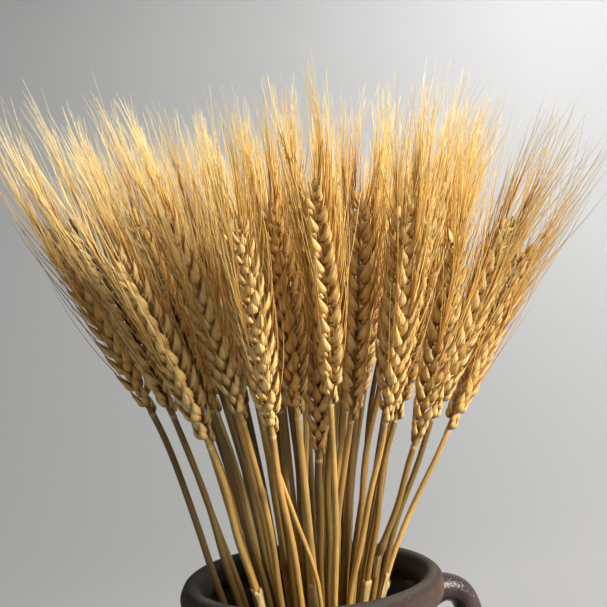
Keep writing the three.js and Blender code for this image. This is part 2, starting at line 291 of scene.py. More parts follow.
# How deep the inner face is beside the back, how much sooner the depth tapers than the width, and the keel
INNER_FACE_DEPTH, DEPTH_TAPER, KEEL_SHARPNESS = 0.4, 1.2, 6


def new_mesh(name, points, faces, lines=()):
    mesh = bpy.data.meshes.new(name)
    mesh.from_pydata(points, lines, faces)
    return mesh


def store(mesh, name, kind, values):
    """Keeps one value, or one vector, for each point of the mesh."""
    layer = mesh.attributes.new(name, kind, "POINT").data
    if kind == "FLOAT_VECTOR":
        layer.foreach_set("vector", np.ravel(values))
    else:
        layer.foreach_set("value", values)


def tapered(t, low, high):
    """0 at both ends and 1 at its widest place. A larger low or high makes that end more pointed."""
    widest = low / (low + high)
    return t**low * (1 - t) ** high / (widest**low * (1 - widest) ** high)


def husk_mesh(name, length, half_width, depth, ends, keel, bow, curl):
    """A husk that grows along +Z from the origin with its back towards +X. Its tip is set off by curl."""
    points, along, ring = [(0, 0, 0)], [0.0], [(0, 0, 0)]
    for t in HUSK_RINGS:
        wide = half_width * tapered(t, *ends)
        deep = depth * tapered(t, ends[0], ends[1] * DEPTH_TAPER)
        middle = bow * math.sin(math.pi * t) + curl * t * t
        for k in range(HUSK_SIDES):
            a = 2 * math.pi * k / HUSK_SIDES
            back = math.sin(a)
            if back > 0:
                out = deep * (back + keel * back**KEEL_SHARPNESS)
            else:
                out = INNER_FACE_DEPTH * deep * back
            points.append((middle + out, wide * math.cos(a), length * t))
            along.append(t)
            ring.append((math.cos(a), math.sin(a), 0))
    points.append((curl, 0, length))
    along.append(1.0)
    ring.append((0, 0, 0))
    faces = []
    for k in range(HUSK_SIDES):
        after = (k + 1) % HUSK_SIDES
        faces.append((0, 1 + k, 1 + after))
        for level in range(len(HUSK_RINGS) - 1):
            low, high = 1 + level * HUSK_SIDES, 1 + (level + 1) * HUSK_SIDES
            faces.append((low + k, high + k, high + after, low + after))
        last = 1 + (len(HUSK_RINGS) - 1) * HUSK_SIDES
        faces.append((last + k, len(points) - 1, last + after))
    mesh = new_mesh(name, points, faces)
    store(mesh, "along", "FLOAT", along)
    store(mesh, "ring", "FLOAT_VECTOR", ring)
    return mesh


print("points in a husk:", 2 + len(HUSK_RINGS) * HUSK_SIDES)


# %% The three kinds of husk
MM = 0.001
GLUME, LEMMA, INNER = 0, 1, 2
HUSK_LENGTH = {GLUME: 9.2 * MM, LEMMA: 11.6 * MM, INNER: 10.4 * MM}
husk_shapes = bpy.data.collections.new("husk shapes")
# Half the width, the depth, how pointed the foot and the tip are, the keel, the bow and the curl of the tip
for kind, half_width, depth, ends, keel, bow, curl in (
    (GLUME, 2.3 * MM, 1.3 * MM, (0.6, 1.05), 0.45, 0.8 * MM, 0.3 * MM),
    (LEMMA, 2.2 * MM, 1.6 * MM, (0.62, 1.15), 0.2, 0.9 * MM, 0.2 * MM),
    (INNER, 1.9 * MM, 1.4 * MM, (0.65, 1.15), 0.15, 0.6 * MM, 0.0),
):
    name = f"husk_{kind}"
    shape = husk_mesh(name, HUSK_LENGTH[kind], half_width, depth, ends, keel, bow, curl)
    husk_shapes.objects.link(bpy.data.objects.new(name, shape))

# %% [markdown]
# ## The plan of one stem
# Before any surface is made, each stem is written down as points and one line. The line is the straw, from
# its cut end on the jar's bottom up through the ear. Every other point is a place where something grows: a
# husk, or an awn. With each point go the values that the next step needs, such as which way a husk faces and
# how far an awn reaches. Real ears are never quite regular, so each value gets a small seeded change of its
# own.

# %% Sizes of the straw, the ear and the awns
RACHIS_GIRTH, RACHIS_TAPER = 0.9 * MM, 0.5
STRAW_GIRTH_TOP = 1.35 * MM
STRAW_GIRTH_LOW = 1.8 * MM
SPIKELETS = 21
AWN_LENGTH = 47 * MM
# How long the awns are at the sides of the bunch and in its middle, as shares, and how far the middle reaches
AWN_SIDE_SHARE, AWN_MIDDLE_SHARE, AWN_MIDDLE = 1.13, 0.83, 0.035
# Every awn lifts a little. On the right they also flare outwards
AWN_LIFT, AWN_FLARE = 0.11, 3.6
# Most awns stray little and a few stray much: the least share of the stray, and what the wildest add to it
AWN_STRAY, AWN_LEAST_STRAY, AWN_MORE_STRAY = 0.055, 0.8, 1.8
AWN_ARCH = 0.24
STRAW_ROLE, HUSK_ROLE, AWN_ROLE = 0, 1, 2


class Sketch:
    """The points of one stem, with the values that its surfaces are made from."""

    FLOATS = ("girth", "along", "shade", "size", "tint")
    VECTORS = ("grow", "face", "middle", "end")

    def __init__(self):
        self.points, self.lines, self.roles, self.kinds = [], [], [], []
        self.values = {name: [] for name in self.FLOATS + self.VECTORS}

    def add(self, place, role, kind=0, **values):
        self.points.append(tuple(place))
        self.roles.append(role)
        self.kinds.append(kind)
        for name in self.FLOATS:
            self.values[name].append(values.get(name, 0.0))
        for name in self.VECTORS:
            self.values[name].append(tuple(values.get(name, (0, 0, 0))))
        return len(self.points) - 1

    def mesh(self, name):
        mesh = new_mesh(name, self.points, [], self.lines)
        store(mesh, "role", "INT", self.roles)
        store(mesh, "kind", "INT", self.kinds)
        for title in self.FLOATS:
            store(mesh, title, "FLOAT", self.values[title])
        for title in self.VECTORS:
            store(mesh, title, "FLOAT_VECTOR", self.values[title])
        return mesh


print("spikelets in an ear:", SPIKELETS, "length of a usual awn, mm:", AWN_LENGTH / MM)

# %% [markdown]
# ## Straws without an ear
# In a real bunch some ears have broken off, and their bare straws stay behind among the others. Copies of
# whole stems would make the bunch too thick at the ears. So these straws have no ear. Each keeps its distance
# from the others at the rim, and its upper end hides among the ears. One more, a slim one, crosses the straws
# in front.

# %% Places for bare straws
BARE_STRAWS = 23
BARE_REACH = 0.034
BARE_SPACING = 4.1 * MM
BARE_FRONT = -0.012
BARE_END_GAP = 0.011
BARE_RISES = (0.085, 0.11)
# The bare straws stand in the middle and at the back of the bunch. Their dark tones are partly their own and
# partly painted shade
BARE_PAINTED_SHADE_TONES = (0.0, 0.45)
BARE_SEED = 23
# The slim straw: x and y of its upper end, its height above the rim, its shift at the rim
CROSSING_END, CROSSING_RISE, CROSSING_SHIFT = (-0.0150, -0.0605), 0.074, (0.0115, 0.0012)
CROSSING_SLIMNESS = 0.66
CROSSING_SHADES = (0.76, 0.9)


def place_bare_straws(stems):
    """Straws at the middle and the back of the bunch, between the others, that end among the ears."""
    numbers = random.Random(BARE_SEED)
    taken = [stem.point(JAR_HEIGHT) for stem in stems]
    bare = []
    while len(bare) < BARE_STRAWS:
        reach, turn = BARE_REACH * math.sqrt(numbers.random()), numbers.uniform(0, 2 * math.pi)
        place = Vector((reach * math.cos(turn), reach * math.sin(turn), JAR_HEIGHT))
        if place.y < BARE_FRONT or any((place - other).length < BARE_SPACING for other in taken):
            continue
        stem = Stem(place.x / OPEN_AT_RIM, place.y / OPEN_AT_RIM, numbers.uniform(*BARE_RISES), 0.0)
        end = stem.point(stem.ear_base)
        if min((end - other.point(end.z)).length for other in stems) > BARE_END_GAP:
            continue
        taken.append(place)
        stem.bend = STRAW_BEND * numbers.uniform(-1, 1)
        stem.bend_angle = numbers.uniform(0, 2 * math.pi)
        bare.append(stem)
    return bare


def crossing_stem():
    opening = opening_at(JAR_HEIGHT + CROSSING_RISE)
    stem = Stem(CROSSING_END[0] / opening, CROSSING_END[1] / opening, CROSSING_RISE, 0.0)
    stem.shift_x, stem.shift_y = CROSSING_SHIFT
    stem.slimness = CROSSING_SLIMNESS
    return stem


bare_stems = place_bare_straws(stems)
print("bare straws:", len(bare_stems), "and the one that crosses")

# %% [markdown]
# ## The straw
# A straw of wheat is a slim tube that tapers upwards. It has a thick knot wherever a leaf grew from it, and a
# small pale collar under the ear. One line with a thickness at each of its points says all of this. The
# points lie close together at a knot, where the shape changes fast, and wide apart elsewhere, which keeps the
# mesh light.

# %% How thick the straw is
# How far a knot reaches along the straw, and how much thicker the straw is there
KNOT_REACH, KNOT_SWELL = 2.2 * MM, 0.42
# The collar: how far below the ear it sits, how far it reaches, and what it adds to the girth
COLLAR_DROP, COLLAR_REACH, COLLAR_GIRTH = 0.9 * MM, 0.6 * MM, 0.22 * MM
# How far below the ear the straw has its full girth, how far it may wander off its line,
# and how much thinner or thicker than usual it may be
TAPER_REACH, WANDER, THICKNESSES = 0.15, 1.3 * MM, (0.8, 1.06)
# A knot's stain reaches past its swelling, and the straw is pale at its collar
STAIN_REACH = 1.6 * KNOT_REACH
COLLAR_PALE, COLLAR_PALE_REACH = 0.6, 0.8 * MM
# Knots that show above the jar: the straw's number and the height above the rim
SHOWN_KNOTS = {13: 0.017, 21: 0.004, 36: 0.020, 24: 0.010, 5: 0.043}
# How pale the straws in front are, from 0 to 1: mostly their own tone, but the dark ones on the left, 1 and
# 2, also carry painted shade
SHOWN_SHADES = {
    1: 0.2, 2: 0.22, 3: 0.74, 4: 0.3, 5: 0.78, 6: 0.68,
    7: 0.3, 8: 0.84, 9: 0.3, 10: 0.82, 12: 0.76, 13: 0.5,
}


def bump(distance, reach):
    """1 at distance 0, about a third at the reach, and next to nothing at twice the reach."""
    return math.exp(-((distance / reach) ** 2))


def straw_girth(stem, z, knots, thickness):
    """Half the straw's thickness at height z: it tapers upwards, and has its knots and its collar."""
    if z > stem.ear_base + 1 * MM:
        return RACHIS_GIRTH * (1 - RACHIS_TAPER * (z - stem.ear_base) / stem.ear_height)
    share = min(1.0, (stem.ear_base - z) / TAPER_REACH)
    girth = (STRAW_GIRTH_TOP + (STRAW_GIRTH_LOW - STRAW_GIRTH_TOP) * share) * thickness
    girth *= 1 + KNOT_SWELL * sum(bump(z - knot, KNOT_REACH) for knot in knots)
    return girth + COLLAR_GIRTH * bump(z - stem.ear_base + COLLAR_DROP, COLLAR_REACH)


girths = [straw_girth(stems[0], z, (), 1.0) for z in (JAR_HEIGHT, stems[0].ear_base - 5 * MM)]
print("a usual straw, mm thick at the rim and under the ear:", [round(2 * girth / MM, 2) for girth in girths])


# %% Sketch the straw
# The distance between the line's points in the straw and in the ear, where in the ear the line ends,
# and how many points a knot or the collar takes
STRAW_STEP, RACHIS_STEP = 6 * MM, 8 * MM
RACHIS_END, CLOSE_POINTS = 0.95, 7


def straw_heights(stem, knots):
    """The heights of the line's points: close together at the knots and the collar."""
    heights = set(np.arange(STRAW_FOOT, stem.ear_base, STRAW_STEP))
    heights |= set(np.arange(stem.ear_base, stem.ear_base + stem.ear_height * RACHIS_END, RACHIS_STEP))
    collar = stem.ear_base - COLLAR_DROP
    for centre, reach in [(knot, 2 * KNOT_REACH) for knot in knots] + [(collar, 2 * COLLAR_REACH)]:
        heights = {z for z in heights if abs(z - centre) > reach}
        heights |= set(np.linspace(centre - reach, centre + reach, CLOSE_POINTS))
    return sorted(heights)


def straw_point(stem, z, wander, phase):
    """The straw's middle line: the stem's own line, which wanders a little between the rim and the ear."""
    share = min(1.0, max(0.0, (z - JAR_HEIGHT) / stem.rise))
    off = wander * math.sin(math.pi * share) * math.sin(2 * math.pi * share + phase)
    return stem.point(z) + Vector((off, 0, 0))


def sketch_straw(sketch, stem, knots, heights, shade, numbers):
    stem.thickness = thickness = numbers.uniform(*THICKNESSES) * stem.slimness
    wander, phase = WANDER * numbers.uniform(-1, 1), numbers.uniform(0, math.pi)
    before = None
    for z in heights:
        tint = max([bump(z - knot, STAIN_REACH) for knot in knots] + [0])
        tint -= COLLAR_PALE * bump(z - stem.ear_base + COLLAR_DROP, COLLAR_PALE_REACH)
        here = sketch.add(
            straw_point(stem, z, wander, phase),
            STRAW_ROLE,
            girth=straw_girth(stem, z, knots, thickness),
            along=stem.ear_base - z,
            shade=shade,
            tint=tint,
        )
        if before is not None:
            sketch.lines.append((before, here))
        before = here


print("points along the first straw:", len(straw_heights(stems[0], ())))

# %% [markdown]
# ## Awns and spikelets
# An awn is the long stiff bristle at a husk's tip. It leaves along its husk, and then bends up with the ear.
# On the outside of the bunch the awns are longest, on the right they flare out, and a few stray far from the
# rest. The spikelets sit by turns on the two sides of the ear. Each has two empty husks outside, two full
# ones that bear an awn each, and one in the middle. The awns of the other husks, which don't show, leave from
# that one as a tuft.

# %% Sketch an awn
# How far an awn may lean outwards, to its own side and by chance, as shares of its length
AWN_OUT, AWN_ASIDE, AWN_WAVER = 0.19, 0.13, 0.05
# How much of the flare an awn takes, how thick it is, and how far its shade may differ from its ear's
FLARE_SHARES, AWN_SIZES, AWN_SHADES = (-0.45, 1.0), (0.7, 1.1), 0.35
# How deep in its husk's tip an awn starts, in millimetres, and how far its middle may stray, as a share
AWN_ROOT, ARCH_WAVER = 1.2, 0.02


def jitter(numbers, amount):
    return Vector([numbers.uniform(-amount, amount) for _ in range(3)])


def near(shade, amount, numbers):
    """A shade a little off the given one, kept between 0 and 1."""
    return min(1.0, max(0.0, shade + numbers.uniform(-amount, amount)))


def awn_length(stem, least, most, numbers):
    """The stems in the middle of the bunch have the shortest awns, and those at its sides the longest."""
    middle = bump(stem.point(stem.ear_base).x, AWN_MIDDLE)
    share = AWN_SIDE_SHARE * (1 - middle) + AWN_MIDDLE_SHARE * middle
    return AWN_LENGTH * numbers.uniform(least, most) * share


def sketch_awn(sketch, tip, heading, along, across, flat, side, wide, length, shade, numbers):
    """An awn that leaves its husk's tip along heading and bends up towards its own last direction."""
    out = side * numbers.uniform(0.0, AWN_OUT)
    aside = wide * numbers.uniform(0.0, AWN_ASIDE) + numbers.uniform(-AWN_WAVER, AWN_WAVER)
    flare = Vector((max(0.0, tip.x) * AWN_FLARE * numbers.uniform(*FLARE_SHARES), 0, AWN_LIFT))
    stray = AWN_STRAY * (AWN_LEAST_STRAY + AWN_MORE_STRAY * numbers.random() ** 3)
    end = along + across * out + flat * aside + flare + jitter(numbers, stray)
    end = end.normalized() * length
    middle = (heading + end.normalized()) * length * AWN_ARCH + jitter(numbers, ARCH_WAVER) * length
    sketch.add(
        tip - heading * AWN_ROOT * MM,
        AWN_ROLE,
        middle=middle,
        end=end,
        size=numbers.uniform(*AWN_SIZES),
        shade=near(shade, AWN_SHADES, numbers),
    )


usual = [round(AWN_LENGTH * share / MM) for share in (AWN_MIDDLE_SHARE, AWN_SIDE_SHARE)]
print("usual awns in the middle of the bunch and at its sides, mm:", usual)


# %% Sketch a spikelet
# Where on the ear the tufts start, the sides of the bunch, and the awns in a tuft at the left, between and at
# the right. A tuft fans out by its width
TUFT_START = 0.35
TUFT_LEFT_EDGE, TUFT_RIGHT_EDGE = -0.03, 0.02
TUFT_LEFT, TUFT_MIDDLE, TUFT_RIGHT = 7, 9, 8
TUFT_WIDTH = 1.8
# The husks that come in pairs. For each kind: where it starts, in millimetres to its side, up the ear and
# outwards, how far it leans outwards and to its side, and how much its back faces outwards and to its side
PAIRED_HUSKS = (
    (GLUME, (1.0, -0.8, 0.5), (0.36, 0.3), (0.8, 0.6)),
    (LEMMA, (1.2, 1.2, 0.0), (0.33, 0.42), (0.5, 0.85)),
)
# The husk in the middle in the same way, and how far from the stalk's middle the spikelet sits
INNER_OUT, INNER_UP, INNER_LEAN = 0.4, 3.0, 0.42
SEAT_OUT = 0.7
# The lowest spikelets stay closed: how far they open, and how fast that grows up the ear
FOOT_SPREAD, SPREAD_GROWTH = 0.3, 6
# What chance changes: a husk's size, its shade, the way that it leans and the way that it faces
HUSK_SIZES, HUSK_SHADES, HUSK_WAVER, HUSK_TURN = (0.93, 1.06), 0.3, 0.05, 0.12
# The least and the most of an awn's usual length, for the awns in pairs and those in the tuft
PAIRED_AWNS, TUFT_AWNS = (0.8, 1.15), (0.65, 1.1)


def tuft_count(stem, share):
    """How many awns leave from the husk in the middle: one at the foot of the ear, a tuft higher up."""
    if share < TUFT_START:
        return 1
    if stem.x > TUFT_RIGHT_EDGE:
        return TUFT_RIGHT
    return TUFT_MIDDLE if stem.x > TUFT_LEFT_EDGE else TUFT_LEFT


def sketch_spikelet(sketch, stem, z, side, size, share, shade, numbers):
    """One spikelet: two glumes, two plump husks with an awn each, and one husk with a tuft of awns."""
    along = stem.direction(z)
    across = Vector((math.cos(stem.twist), math.sin(stem.twist), 0))
    across = (across - along * across.dot(along)).normalized()
    flat = along.cross(across)
    outward = across * side
    spread = min(1.0, FOOT_SPREAD + SPREAD_GROWTH * share)
    seat = stem.point(z) + outward * SEAT_OUT * MM

    def husk(kind, place, lean, face):
        grow = (lean + jitter(numbers, HUSK_WAVER)).normalized()
        look = (face + jitter(numbers, HUSK_TURN)).normalized()
        scale = size * numbers.uniform(*HUSK_SIZES)
        tone = near(shade, HUSK_SHADES, numbers)
        sketch.add(place, HUSK_ROLE, kind, grow=grow, face=look, size=scale, shade=tone)
        return place + grow * HUSK_LENGTH[kind] * scale, grow

    def awn(tip, grow, way, lengths):
        length = awn_length(stem, *lengths, numbers)
        sketch_awn(sketch, tip, grow, along, across, flat, side, way, length, shade, numbers)

    for way in (-1, 1):
        for kind, (aside, up, out), (lean_out, lean_aside), (face_out, face_aside) in PAIRED_HUSKS:
            place = seat + flat * way * aside * MM * size + along * up * MM + outward * out * MM
            lean = along + (outward * lean_out + flat * way * lean_aside) * spread
            tip, grow = husk(kind, place, lean, outward * face_out + flat * way * face_aside)
        awn(tip, grow, way, PAIRED_AWNS)
    place = seat + outward * INNER_OUT * MM + along * INNER_UP * MM
    tip, grow = husk(INNER, place, along + outward * INNER_LEAN * spread, outward)
    count = tuft_count(stem, share)
    for k in range(count):
        awn(tip, grow, TUFT_WIDTH * (k + 0.5) / count - TUFT_WIDTH / 2, TUFT_AWNS)


counts = [2 + tuft_count(stems[0], share) for share in (0.0, 1.0)]
print("awns of the first stem's lowest and highest spikelet:", counts)


# %% Sketch a whole ear and every stem
# The room that the last spikelet needs, and how far up its own pitch each one starts, with a change by chance
EAR_TIP_ROOM, SPIKELET_START, SPIKELET_WANDER = 9 * MM, 0.2, 0.1
STEM_SEED, BARE_STEM_SEED = 700, 900
HIDDEN_KNOTS, BARE_KNOTS = (0.06, 0.16), (0.08, 0.22)


def spikelet_size(share):
    """Stunted at the very foot of the ear, full in its middle, smaller again near the tip."""
    full = 0.62 + 0.4 * math.sin(math.pi * min(1.0, 0.1 + 0.75 * share)) ** 0.7 - 0.2 * share**3
    return full - 0.22 * math.exp(-10 * share)


def sketch_ear(sketch, stem, shade, numbers):
    pitch = (stem.ear_height - EAR_TIP_ROOM) / SPIKELETS
    for k in range(SPIKELETS):
        share = k / (SPIKELETS - 1)
        wander = numbers.uniform(-SPIKELET_WANDER, SPIKELET_WANDER)
        z = stem.ear_base + (k + SPIKELET_START + wander) * pitch
        side = 1 if k % 2 == 0 else -1
        sketch_spikelet(sketch, stem, z, side, spikelet_size(share), share, shade, numbers)


def sketch_stem(stem, index):
    numbers = random.Random(STEM_SEED + index)
    shade = numbers.random()
    knots = [numbers.uniform(*HIDDEN_KNOTS)]
    if index + 1 in SHOWN_KNOTS:
        knots.append(JAR_HEIGHT + SHOWN_KNOTS[index + 1])
    straw_shade = SHOWN_SHADES.get(index + 1, numbers.random())
    sketch = Sketch()
    sketch_straw(sketch, stem, knots, straw_heights(stem, knots), straw_shade, numbers)
    sketch_ear(sketch, stem, shade, numbers)
    return sketch


def sketch_bare_straw(stem, index, shades):
    numbers = random.Random(BARE_STEM_SEED + index)
    knots = [numbers.uniform(*BARE_KNOTS)]
    heights = [z for z in straw_heights(stem, knots) if z < stem.ear_base]
    sketch = Sketch()
    sketch_straw(sketch, stem, knots, heights, numbers.uniform(*shades), numbers)
    return sketch


sketches = [sketch_stem(stem, index) for index, stem in enumerate(stems)]
bare_sketches = [sketch_bare_straw(stem, index, BARE_PAINTED_SHADE_TONES) for index, stem in enumerate(bare_stems)]
bare_sketches.append(sketch_bare_straw(crossing_stem(), BARE_STRAWS, CROSSING_SHADES))
print("husks in one ear:", sketches[0].roles.count(HUSK_ROLE), "awns:", sketches[0].roles.count(AWN_ROLE))

# %% [markdown]
# ## A node tree that grows the stem
# The sketch says where things are, and a Geometry Nodes tree gives them their surfaces. Three kinds of point
# go three ways through the tree. The straw's line is swept with a many-sided ring. Each husk point receives
# one of the husk shapes, turned by the two directions stored with it. Each awn point receives a line, which a
# short rule draws out into a curve, and a small ring thickens it. A particle system could scatter the husks
# too, but it couldn't follow the order of an ear. The tree is built once, and every stem uses it with its own
# sketch.

# %% A helper that adds nodes to a tree
def add_node(tree, kind, inputs=None, **settings):
    """A new node, with its settings made and its inputs set to values or joined to other sockets."""
    node = tree.nodes.new(kind)
    for name, value in settings.items():
        setattr(node, name, value)
    for key, value in (inputs or {}).items():
        socket = node.inputs[key] if isinstance(key, int) else next(
            s for s in node.inputs if s.name == key and s.enabled
        )
        if isinstance(value, bpy.types.NodeSocket):
            tree.links.new(value, socket)
        else:
            socket.default_value = value
    return node


def first(node):
    """The node's first output that is in use."""
    return next(s for s in node.outputs if s.enabled)


def named(tree, name, kind):
    node = add_node(tree, "GeometryNodeInputNamedAttribute", {"Name": name}, data_type=kind)
    return first(node)


def number_math(tree, operation, *values):
    return first(add_node(tree, "ShaderNodeMath", dict(enumerate(values)), operation=operation))


def times(tree, one, other):
    return number_math(tree, "MULTIPLY", one, other)


def plus(tree, one, other):
    return number_math(tree, "ADD", one, other)


def vector_scaled(tree, vector, factor):
    scaled = add_node(tree, "ShaderNodeVectorMath", {"Vector": vector, "Scale": factor}, operation="SCALE")
    return scaled.outputs["Vector"]


def with_role(tree, role):
    sides = {"A": named(tree, "role", "INT"), "B": role}
    return first(add_node(tree, "FunctionNodeCompare", sides, data_type="INT", operation="EQUAL"))


def stored(tree, geometry, name, value, kind):
    """The geometry with a value kept at each of its points."""
    inputs = {"Geometry": geometry, "Name": name, "Value": value}
    return first(add_node(tree, "GeometryNodeStoreNamedAttribute", inputs, data_type=kind, domain="POINT"))


# %% The node tree of one stem
STEM_INPUTS = (
    ("Husk shapes", "NodeSocketCollection", husk_shapes),
    ("Straw sides", "NodeSocketInt", 9),
    ("Awn sides", "NodeSocketInt", 3),
    ("Awn points", "NodeSocketInt", 8),
    ("Awn girth", "NodeSocketFloat", 0.235 * MM),
    ("Awn taper", "NodeSocketFloat", 0.7),
    ("Straw finish", "NodeSocketMaterial", None),
    ("Husk finish", "NodeSocketMaterial", None),
    ("Awn finish", "NodeSocketMaterial", None),
)


def swept(tree, curve, sides, girth):
    """The curve with a ring of the given girth along it, which keeps its own directions for the finish."""
    size = {"Resolution": sides, "Radius": 1.0}
    circle = add_node(tree, "GeometryNodeCurvePrimitiveCircle", size, mode="RADIUS")
    place = add_node(tree, "GeometryNodeInputPosition")
    ring = stored(tree, first(circle), "ring", first(place), "FLOAT_VECTOR")
    inputs = {"Curve": curve, "Profile Curve": ring, "Scale": girth, "Fill Caps": True}
    return first(add_node(tree, "GeometryNodeCurveToMesh", inputs))


def finished_branch(tree, geometry, material):
    return first(add_node(tree, "GeometryNodeSetMaterial", {"Geometry": geometry, "Material": material}))


# %% Branches for straws and husks
def straw_branch(tree, sketch, inputs):
    wanted = {"Geometry": sketch, "Selection": with_role(tree, STRAW_ROLE)}
    part = add_node(tree, "GeometryNodeSeparateGeometry", wanted)
    line = add_node(tree, "GeometryNodeMeshToCurve", {"Mesh": first(part)})
    straw = swept(tree, first(line), inputs["Straw sides"], named(tree, "girth", "FLOAT"))
    return finished_branch(tree, straw, inputs["Straw finish"])


def husk_branch(tree, sketch, inputs):
    three = {"Collection": inputs["Husk shapes"], "Separate Children": True, "Reset Children": True}
    shapes = add_node(tree, "GeometryNodeCollectionInfo", three)
    grow = {"Vector": named(tree, "grow", "FLOAT_VECTOR")}
    upright = add_node(tree, "FunctionNodeAlignRotationToVector", grow, axis="Z")
    face = {"Rotation": first(upright), "Vector": named(tree, "face", "FLOAT_VECTOR")}
    turned = add_node(tree, "FunctionNodeAlignRotationToVector", face, axis="X", pivot_axis="Z")
    placing = {
        "Points": sketch,
        "Selection": with_role(tree, HUSK_ROLE),
        "Instance": first(shapes),
        "Pick Instance": True,
        "Instance Index": named(tree, "kind", "INT"),
        "Rotation": first(turned),
        "Scale": named(tree, "size", "FLOAT"),
    }
    husks = add_node(tree, "GeometryNodeInstanceOnPoints", placing)
    real = add_node(tree, "GeometryNodeRealizeInstances", {"Geometry": first(husks)})
    return finished_branch(tree, first(real), inputs["Husk finish"])


# %% The branch for awns
def awn_branch(tree, sketch, inputs):
    """Each awn starts as points that all lie at its foot, and is then drawn out along a curve."""
    ends = {"Start": (0, 0, 0), "End": (0, 0, 1)}
    line = add_node(tree, "GeometryNodeCurvePrimitiveLine", ends, mode="POINTS")
    count = {"Curve": first(line), "Count": inputs["Awn points"]}
    fine = add_node(tree, "GeometryNodeResampleCurve", count)
    share = first(add_node(tree, "GeometryNodeSplineParameter"))
    marked = stored(tree, first(fine), "along", share, "FLOAT")
    origin = first(add_node(tree, "FunctionNodeInputVector"))
    gathered = add_node(tree, "GeometryNodeSetPosition", {"Geometry": marked, "Position": origin})
    placing = {"Points": sketch, "Selection": with_role(tree, AWN_ROLE), "Instance": first(gathered)}
    awns = add_node(tree, "GeometryNodeInstanceOnPoints", placing)
    real = add_node(tree, "GeometryNodeRealizeInstances", {"Geometry": first(awns)})
    t = named(tree, "along", "FLOAT")
    rest = number_math(tree, "SUBTRACT", 1.0, t)
    to_middle = times(tree, times(tree, t, rest), 2.0)
    to_end = times(tree, t, t)
    middle = vector_scaled(tree, named(tree, "middle", "FLOAT_VECTOR"), to_middle)
    end = vector_scaled(tree, named(tree, "end", "FLOAT_VECTOR"), to_end)
    offset = add_node(tree, "ShaderNodeVectorMath", {0: middle, 1: end}, operation="ADD")
    bent = add_node(tree, "GeometryNodeSetPosition", {"Geometry": first(real), "Offset": first(offset)})
    thin = number_math(tree, "SUBTRACT", 1.0, times(tree, t, inputs["Awn taper"]))
    full = times(tree, inputs["Awn girth"], named(tree, "size", "FLOAT"))
    awn = swept(tree, first(bent), inputs["Awn sides"], times(tree, thin, full))
    return finished_branch(tree, awn, inputs["Awn finish"])


# %% Join the branches
def stem_tree():
    tree = bpy.data.node_groups.new("wheat stem", "GeometryNodeTree")
    tree.interface.new_socket("Sketch", in_out="INPUT", socket_type="NodeSocketGeometry")
    for name, kind, _ in STEM_INPUTS:
        tree.interface.new_socket(name, in_out="INPUT", socket_type=kind)
    tree.interface.new_socket("Stem", in_out="OUTPUT", socket_type="NodeSocketGeometry")
    source = add_node(tree, "NodeGroupInput")
    inputs = {socket.name: socket for socket in source.outputs if socket.name}
    sketch = inputs["Sketch"]
    joined = add_node(tree, "GeometryNodeJoinGeometry")
    for branch in (awn_branch, husk_branch, straw_branch):
        tree.links.new(branch(tree, sketch, inputs), joined.inputs[0])
    smooth = add_node(tree, "GeometryNodeSetShadeSmooth", {"Geometry": first(joined), "Shade Smooth": True})
    result = add_node(tree, "NodeGroupOutput")
    tree.links.new(first(smooth), result.inputs[0])
    return tree


stem_nodes = stem_tree()
print("nodes in the stem's tree:", len(stem_nodes.nodes))

# %% [markdown]
# ## Fibres in straw, husks and awns
# Dried wheat is all fibre: fine ribs run along every straw, husk and awn, and the colour wanders from pale to
# tan along them. A painted picture could show this, but a pattern worked out from the shape fits every stem
# without a seam. The pattern reads two values that each surface carries, the direction around it and the
# distance along it. Noise that is stretched along a stem turns into ribs. Every finish of the wheat needs it,
# so it is a shader group.

# %% A shader group for fibres
GROUP_VALUES = (("Round", 6.0), ("Along", 2.0), ("Blotches", 300.0))
SEED_STEP = 53.0
NOISE_LOW, NOISE_HIGH = 0.3, 0.7


def carried(tree, name, output="Fac"):
    """A value that the surface carries at its points."""
    node = add_node(tree, "ShaderNodeAttribute", attribute_type="GEOMETRY", attribute_name=name)
    return node.outputs[output]


def object_place(tree):
    return add_node(tree, "ShaderNodeTexCoord").outputs["Object"]


def noise(tree, place, scale, detail, **inputs):
    inputs = {"Vector": place, "Scale": scale, "Detail": detail} | inputs
    return first(add_node(tree, "ShaderNodeTexNoise", inputs))


def map_range(tree, value, low, high, to_low=0.0, to_high=1.0):
    numbers = {"Value": value, "From Min": low, "From Max": high, "To Min": to_low, "To Max": to_high}
    return first(add_node(tree, "ShaderNodeMapRange", numbers))


def fibre_group():
    """Ribs: 0 to 1 across the fibres. Blotches: 0 to 1 in soft patches. Shade: this stem's or husk's own."""
    tree = bpy.data.node_groups.new("fibres", "ShaderNodeTree")
    for name, value in GROUP_VALUES:
        socket = tree.interface.new_socket(name, in_out="INPUT", socket_type="NodeSocketFloat")
        socket.default_value = value
    for name in ("Ribs", "Blotches", "Shade"):
        tree.interface.new_socket(name, in_out="OUTPUT", socket_type="NodeSocketFloat")
    source = add_node(tree, "NodeGroupInput")
    shade = carried(tree, "shade")
    rounded = vector_scaled(tree, carried(tree, "ring", "Vector"), source.outputs["Round"])
    height = times(tree, carried(tree, "along"), source.outputs["Along"])
    seed = times(tree, shade, SEED_STEP)
    lift = add_node(tree, "ShaderNodeCombineXYZ", {"X": seed, "Y": 0.0, "Z": height})
    place = add_node(tree, "ShaderNodeVectorMath", {0: rounded, 1: first(lift)}, operation="ADD")
    ribs = noise(tree, first(place), 1.0, 3.0, Roughness=0.6)
    patches = noise(tree, object_place(tree), source.outputs["Blotches"], 2.0)
    result = add_node(tree, "NodeGroupOutput")
    for name, value in (("Ribs", ribs), ("Blotches", patches)):
        tree.links.new(map_range(tree, value, NOISE_LOW, NOISE_HIGH), result.inputs[name])
    tree.links.new(shade, result.inputs["Shade"])
    return tree


fibres = fibre_group()
print("outputs of the fibre group:", [s.name for s in fibres.interface.items_tree if s.in_out == "OUTPUT"])


